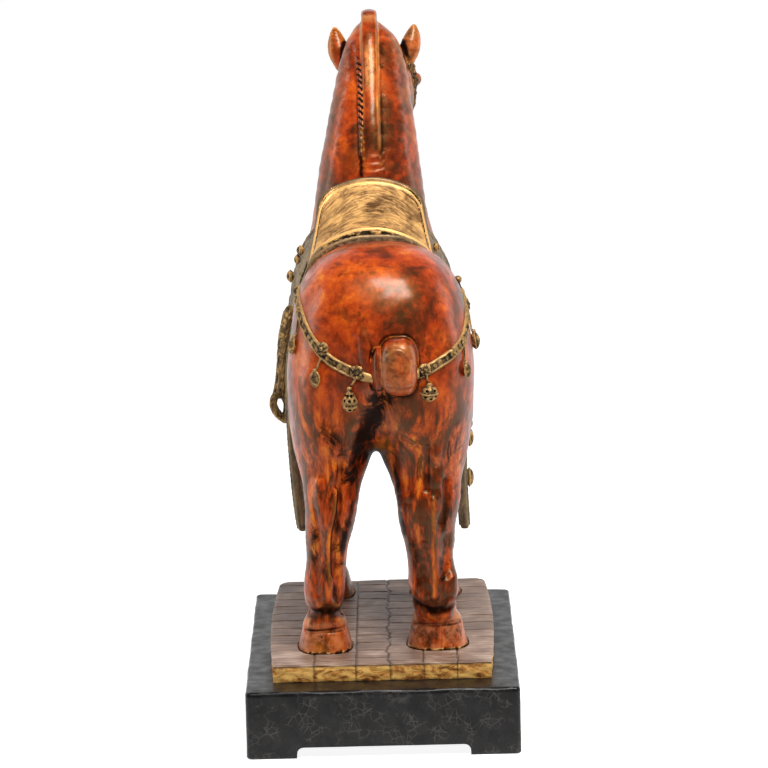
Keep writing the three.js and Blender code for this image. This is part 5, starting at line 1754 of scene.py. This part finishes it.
def make_slab():
    slab = slab_mesh()
    smooth_faces(slab)
    slab.set_sharp_from_angle(angle=math.radians(50))
    show("paved_slab", slab, slab_paint(), "slab_gilding", "ground_slab")


def make_plinth():
    plinth = cut_plinth(plinth_mesh())
    smooth_faces(plinth)
    plinth.set_sharp_from_angle(angle=math.radians(40))
    show("lacquered_plinth", plinth, black_lacquer(), "black_lacquer", "plinth")


# The studio. Lamps: way out from the horse's middle, distance, size, power, whether surfaces mirror it
SOFTBOXES = {
    "overhead_softbox": ((0.18, -0.58, 0.81), 1.5, (0.54, 0.86), 33, True),
    "high_fill": ((-0.45, -0.60, 1.05), 3.2, (2.6, 1.6), 17, False),
    "right_strip": ((0.96, 0.17, 0.22), 1.6, (0.4, 1.3), 4.5, True),
    "left_strip": ((-0.97, 0.08, 0.2), 1.6, (0.4, 1.3), 6.5, True),
}
LIGHT_AIM = (0, 0, 0.38)
# The world's brightness along a direction: from, to, and the strengths there
WORLD_FADES = {"Y": (-0.10, 0.42, 0.07, 1.0), "Z": (0.75, 0.25, 0.22, 1.0)}
FLOOR_REACH = 9.0
FLOOR_GREY = 0.5
FLOOR_GLOW = (-0.50, -0.24, 0.0, 0.9)  # from and to along the floor, and the glow there


def softbox(name, towards, distance, size, power, seen_mirrored):
    """An area light in a direction from the horse's middle, turned to it"""
    light = bpy.data.lights.new(name, "AREA")
    light.shape = "RECTANGLE"
    light.size, light.size_y = size
    light.energy = power
    lamp = placed(name, light)
    way = Vector(towards).normalized()
    lamp.location = Vector(LIGHT_AIM) + way * distance
    lamp.rotation_mode = "QUATERNION"
    lamp.rotation_quaternion = way.to_track_quat("Z", "Y")
    lamp.visible_glossy = seen_mirrored


def backdrop():
    """A world that is white behind the horse and dark over and behind the camera"""
    world = bpy.data.worlds.new("studio")
    world.use_nodes = True
    tree = world.node_tree
    way = tree.nodes.new("ShaderNodeTexCoord").outputs["Generated"]
    split = tree.nodes.new("ShaderNodeSeparateXYZ")
    tree.links.new(way, split.inputs[0])
    parts = []
    for letter, fade in WORLD_FADES.items():
        span = tree.nodes.new("ShaderNodeMapRange")
        span.interpolation_type = "SMOOTHSTEP"
        for key, value in zip(("From Min", "From Max", "To Min", "To Max"), fade):
            span.inputs[key].default_value = value
        tree.links.new(split.outputs[letter], span.inputs["Value"])
        parts.append(span.outputs["Result"])
    both = tree.nodes.new("ShaderNodeMath")
    both.operation = "MULTIPLY"
    for socket, part in zip(both.inputs, parts):
        tree.links.new(part, socket)
    tree.links.new(both.outputs[0], tree.nodes["Background"].inputs["Strength"])
    tree.nodes["Background"].inputs["Color"].default_value = (1, 1, 1, 1)
    return world


def light_table():
    """The floor: a pale table that glows behind and beside the base and fades out before it"""
    far = FLOOR_REACH
    mesh = mesh_of("floor", [(-far, -far, 0), (far, -far, 0), (far, far, 0), (-far, far, 0)], [(0, 1, 2, 3)])
    paint = Paint("pale_floor")
    glow = paint.span(paint.axis("Y"), *FLOOR_GLOW)
    paint.set(Base_Color=(FLOOR_GREY, FLOOR_GREY, FLOOR_GREY, 1), Roughness=0.9, Specular_IOR_Level=0.0)
    paint.set(Emission_Color=(1, 1, 1, 1), Emission_Strength=glow)
    mesh.materials.append(paint.material)
    placed("floor", mesh)


def make_studio():
    for name, settings in SOFTBOXES.items():
        softbox(name, *settings)
    light_table()
    bpy.context.scene.world = backdrop()
    bpy.context.scene.view_settings.view_transform = "Standard"


# The camera: worked out from the photograph's vanishing lines
CAMERA_AZIMUTH, CAMERA_HEIGHT, CAMERA_ROLL = 0.35, 11.0, -1.41  # degrees
CAMERA_DISTANCE = 4.0
CLIP_END = 50
CAMERA_TARGET = (0, 0, 0.305)
FOCAL_PIXELS = 4449
IMAGE_PIXELS = 768
SENSOR_WIDTH = 36  # millimetres
PRINCIPAL_PIXEL = (376.09, 374.32)


def make_camera():
    a, e, roll = (math.radians(v) for v in (CAMERA_AZIMUTH, CAMERA_HEIGHT, CAMERA_ROLL))
    back = np.array([math.sin(a) * math.cos(e), -math.cos(a) * math.cos(e), math.sin(e)])
    right = np.cross(-back, (0, 0, 1))
    right /= np.linalg.norm(right)
    up = np.cross(right, -back)
    x = right * math.cos(roll) + up * math.sin(roll)
    y = -right * math.sin(roll) + up * math.cos(roll)
    data = bpy.data.cameras.new("camera")
    data.sensor_width = SENSOR_WIDTH
    data.lens = FOCAL_PIXELS * SENSOR_WIDTH / IMAGE_PIXELS
    data.shift_x = 0.5 - PRINCIPAL_PIXEL[0] / IMAGE_PIXELS
    data.shift_y = PRINCIPAL_PIXEL[1] / IMAGE_PIXELS - 0.5
    data.clip_end = CLIP_END
    camera = placed("camera", data)
    matrix = np.eye(4)
    matrix[:3, 0], matrix[:3, 1], matrix[:3, 2] = x, y, back
    matrix[:3, 3] = np.array(CAMERA_TARGET) + back * CAMERA_DISTANCE
    camera.matrix_world = Matrix(matrix.tolist())
    bpy.context.scene.camera = camera


make_camera()
make_studio()
make_slab()
make_plinth()
make_horse()
make_saddle()
make_tack()
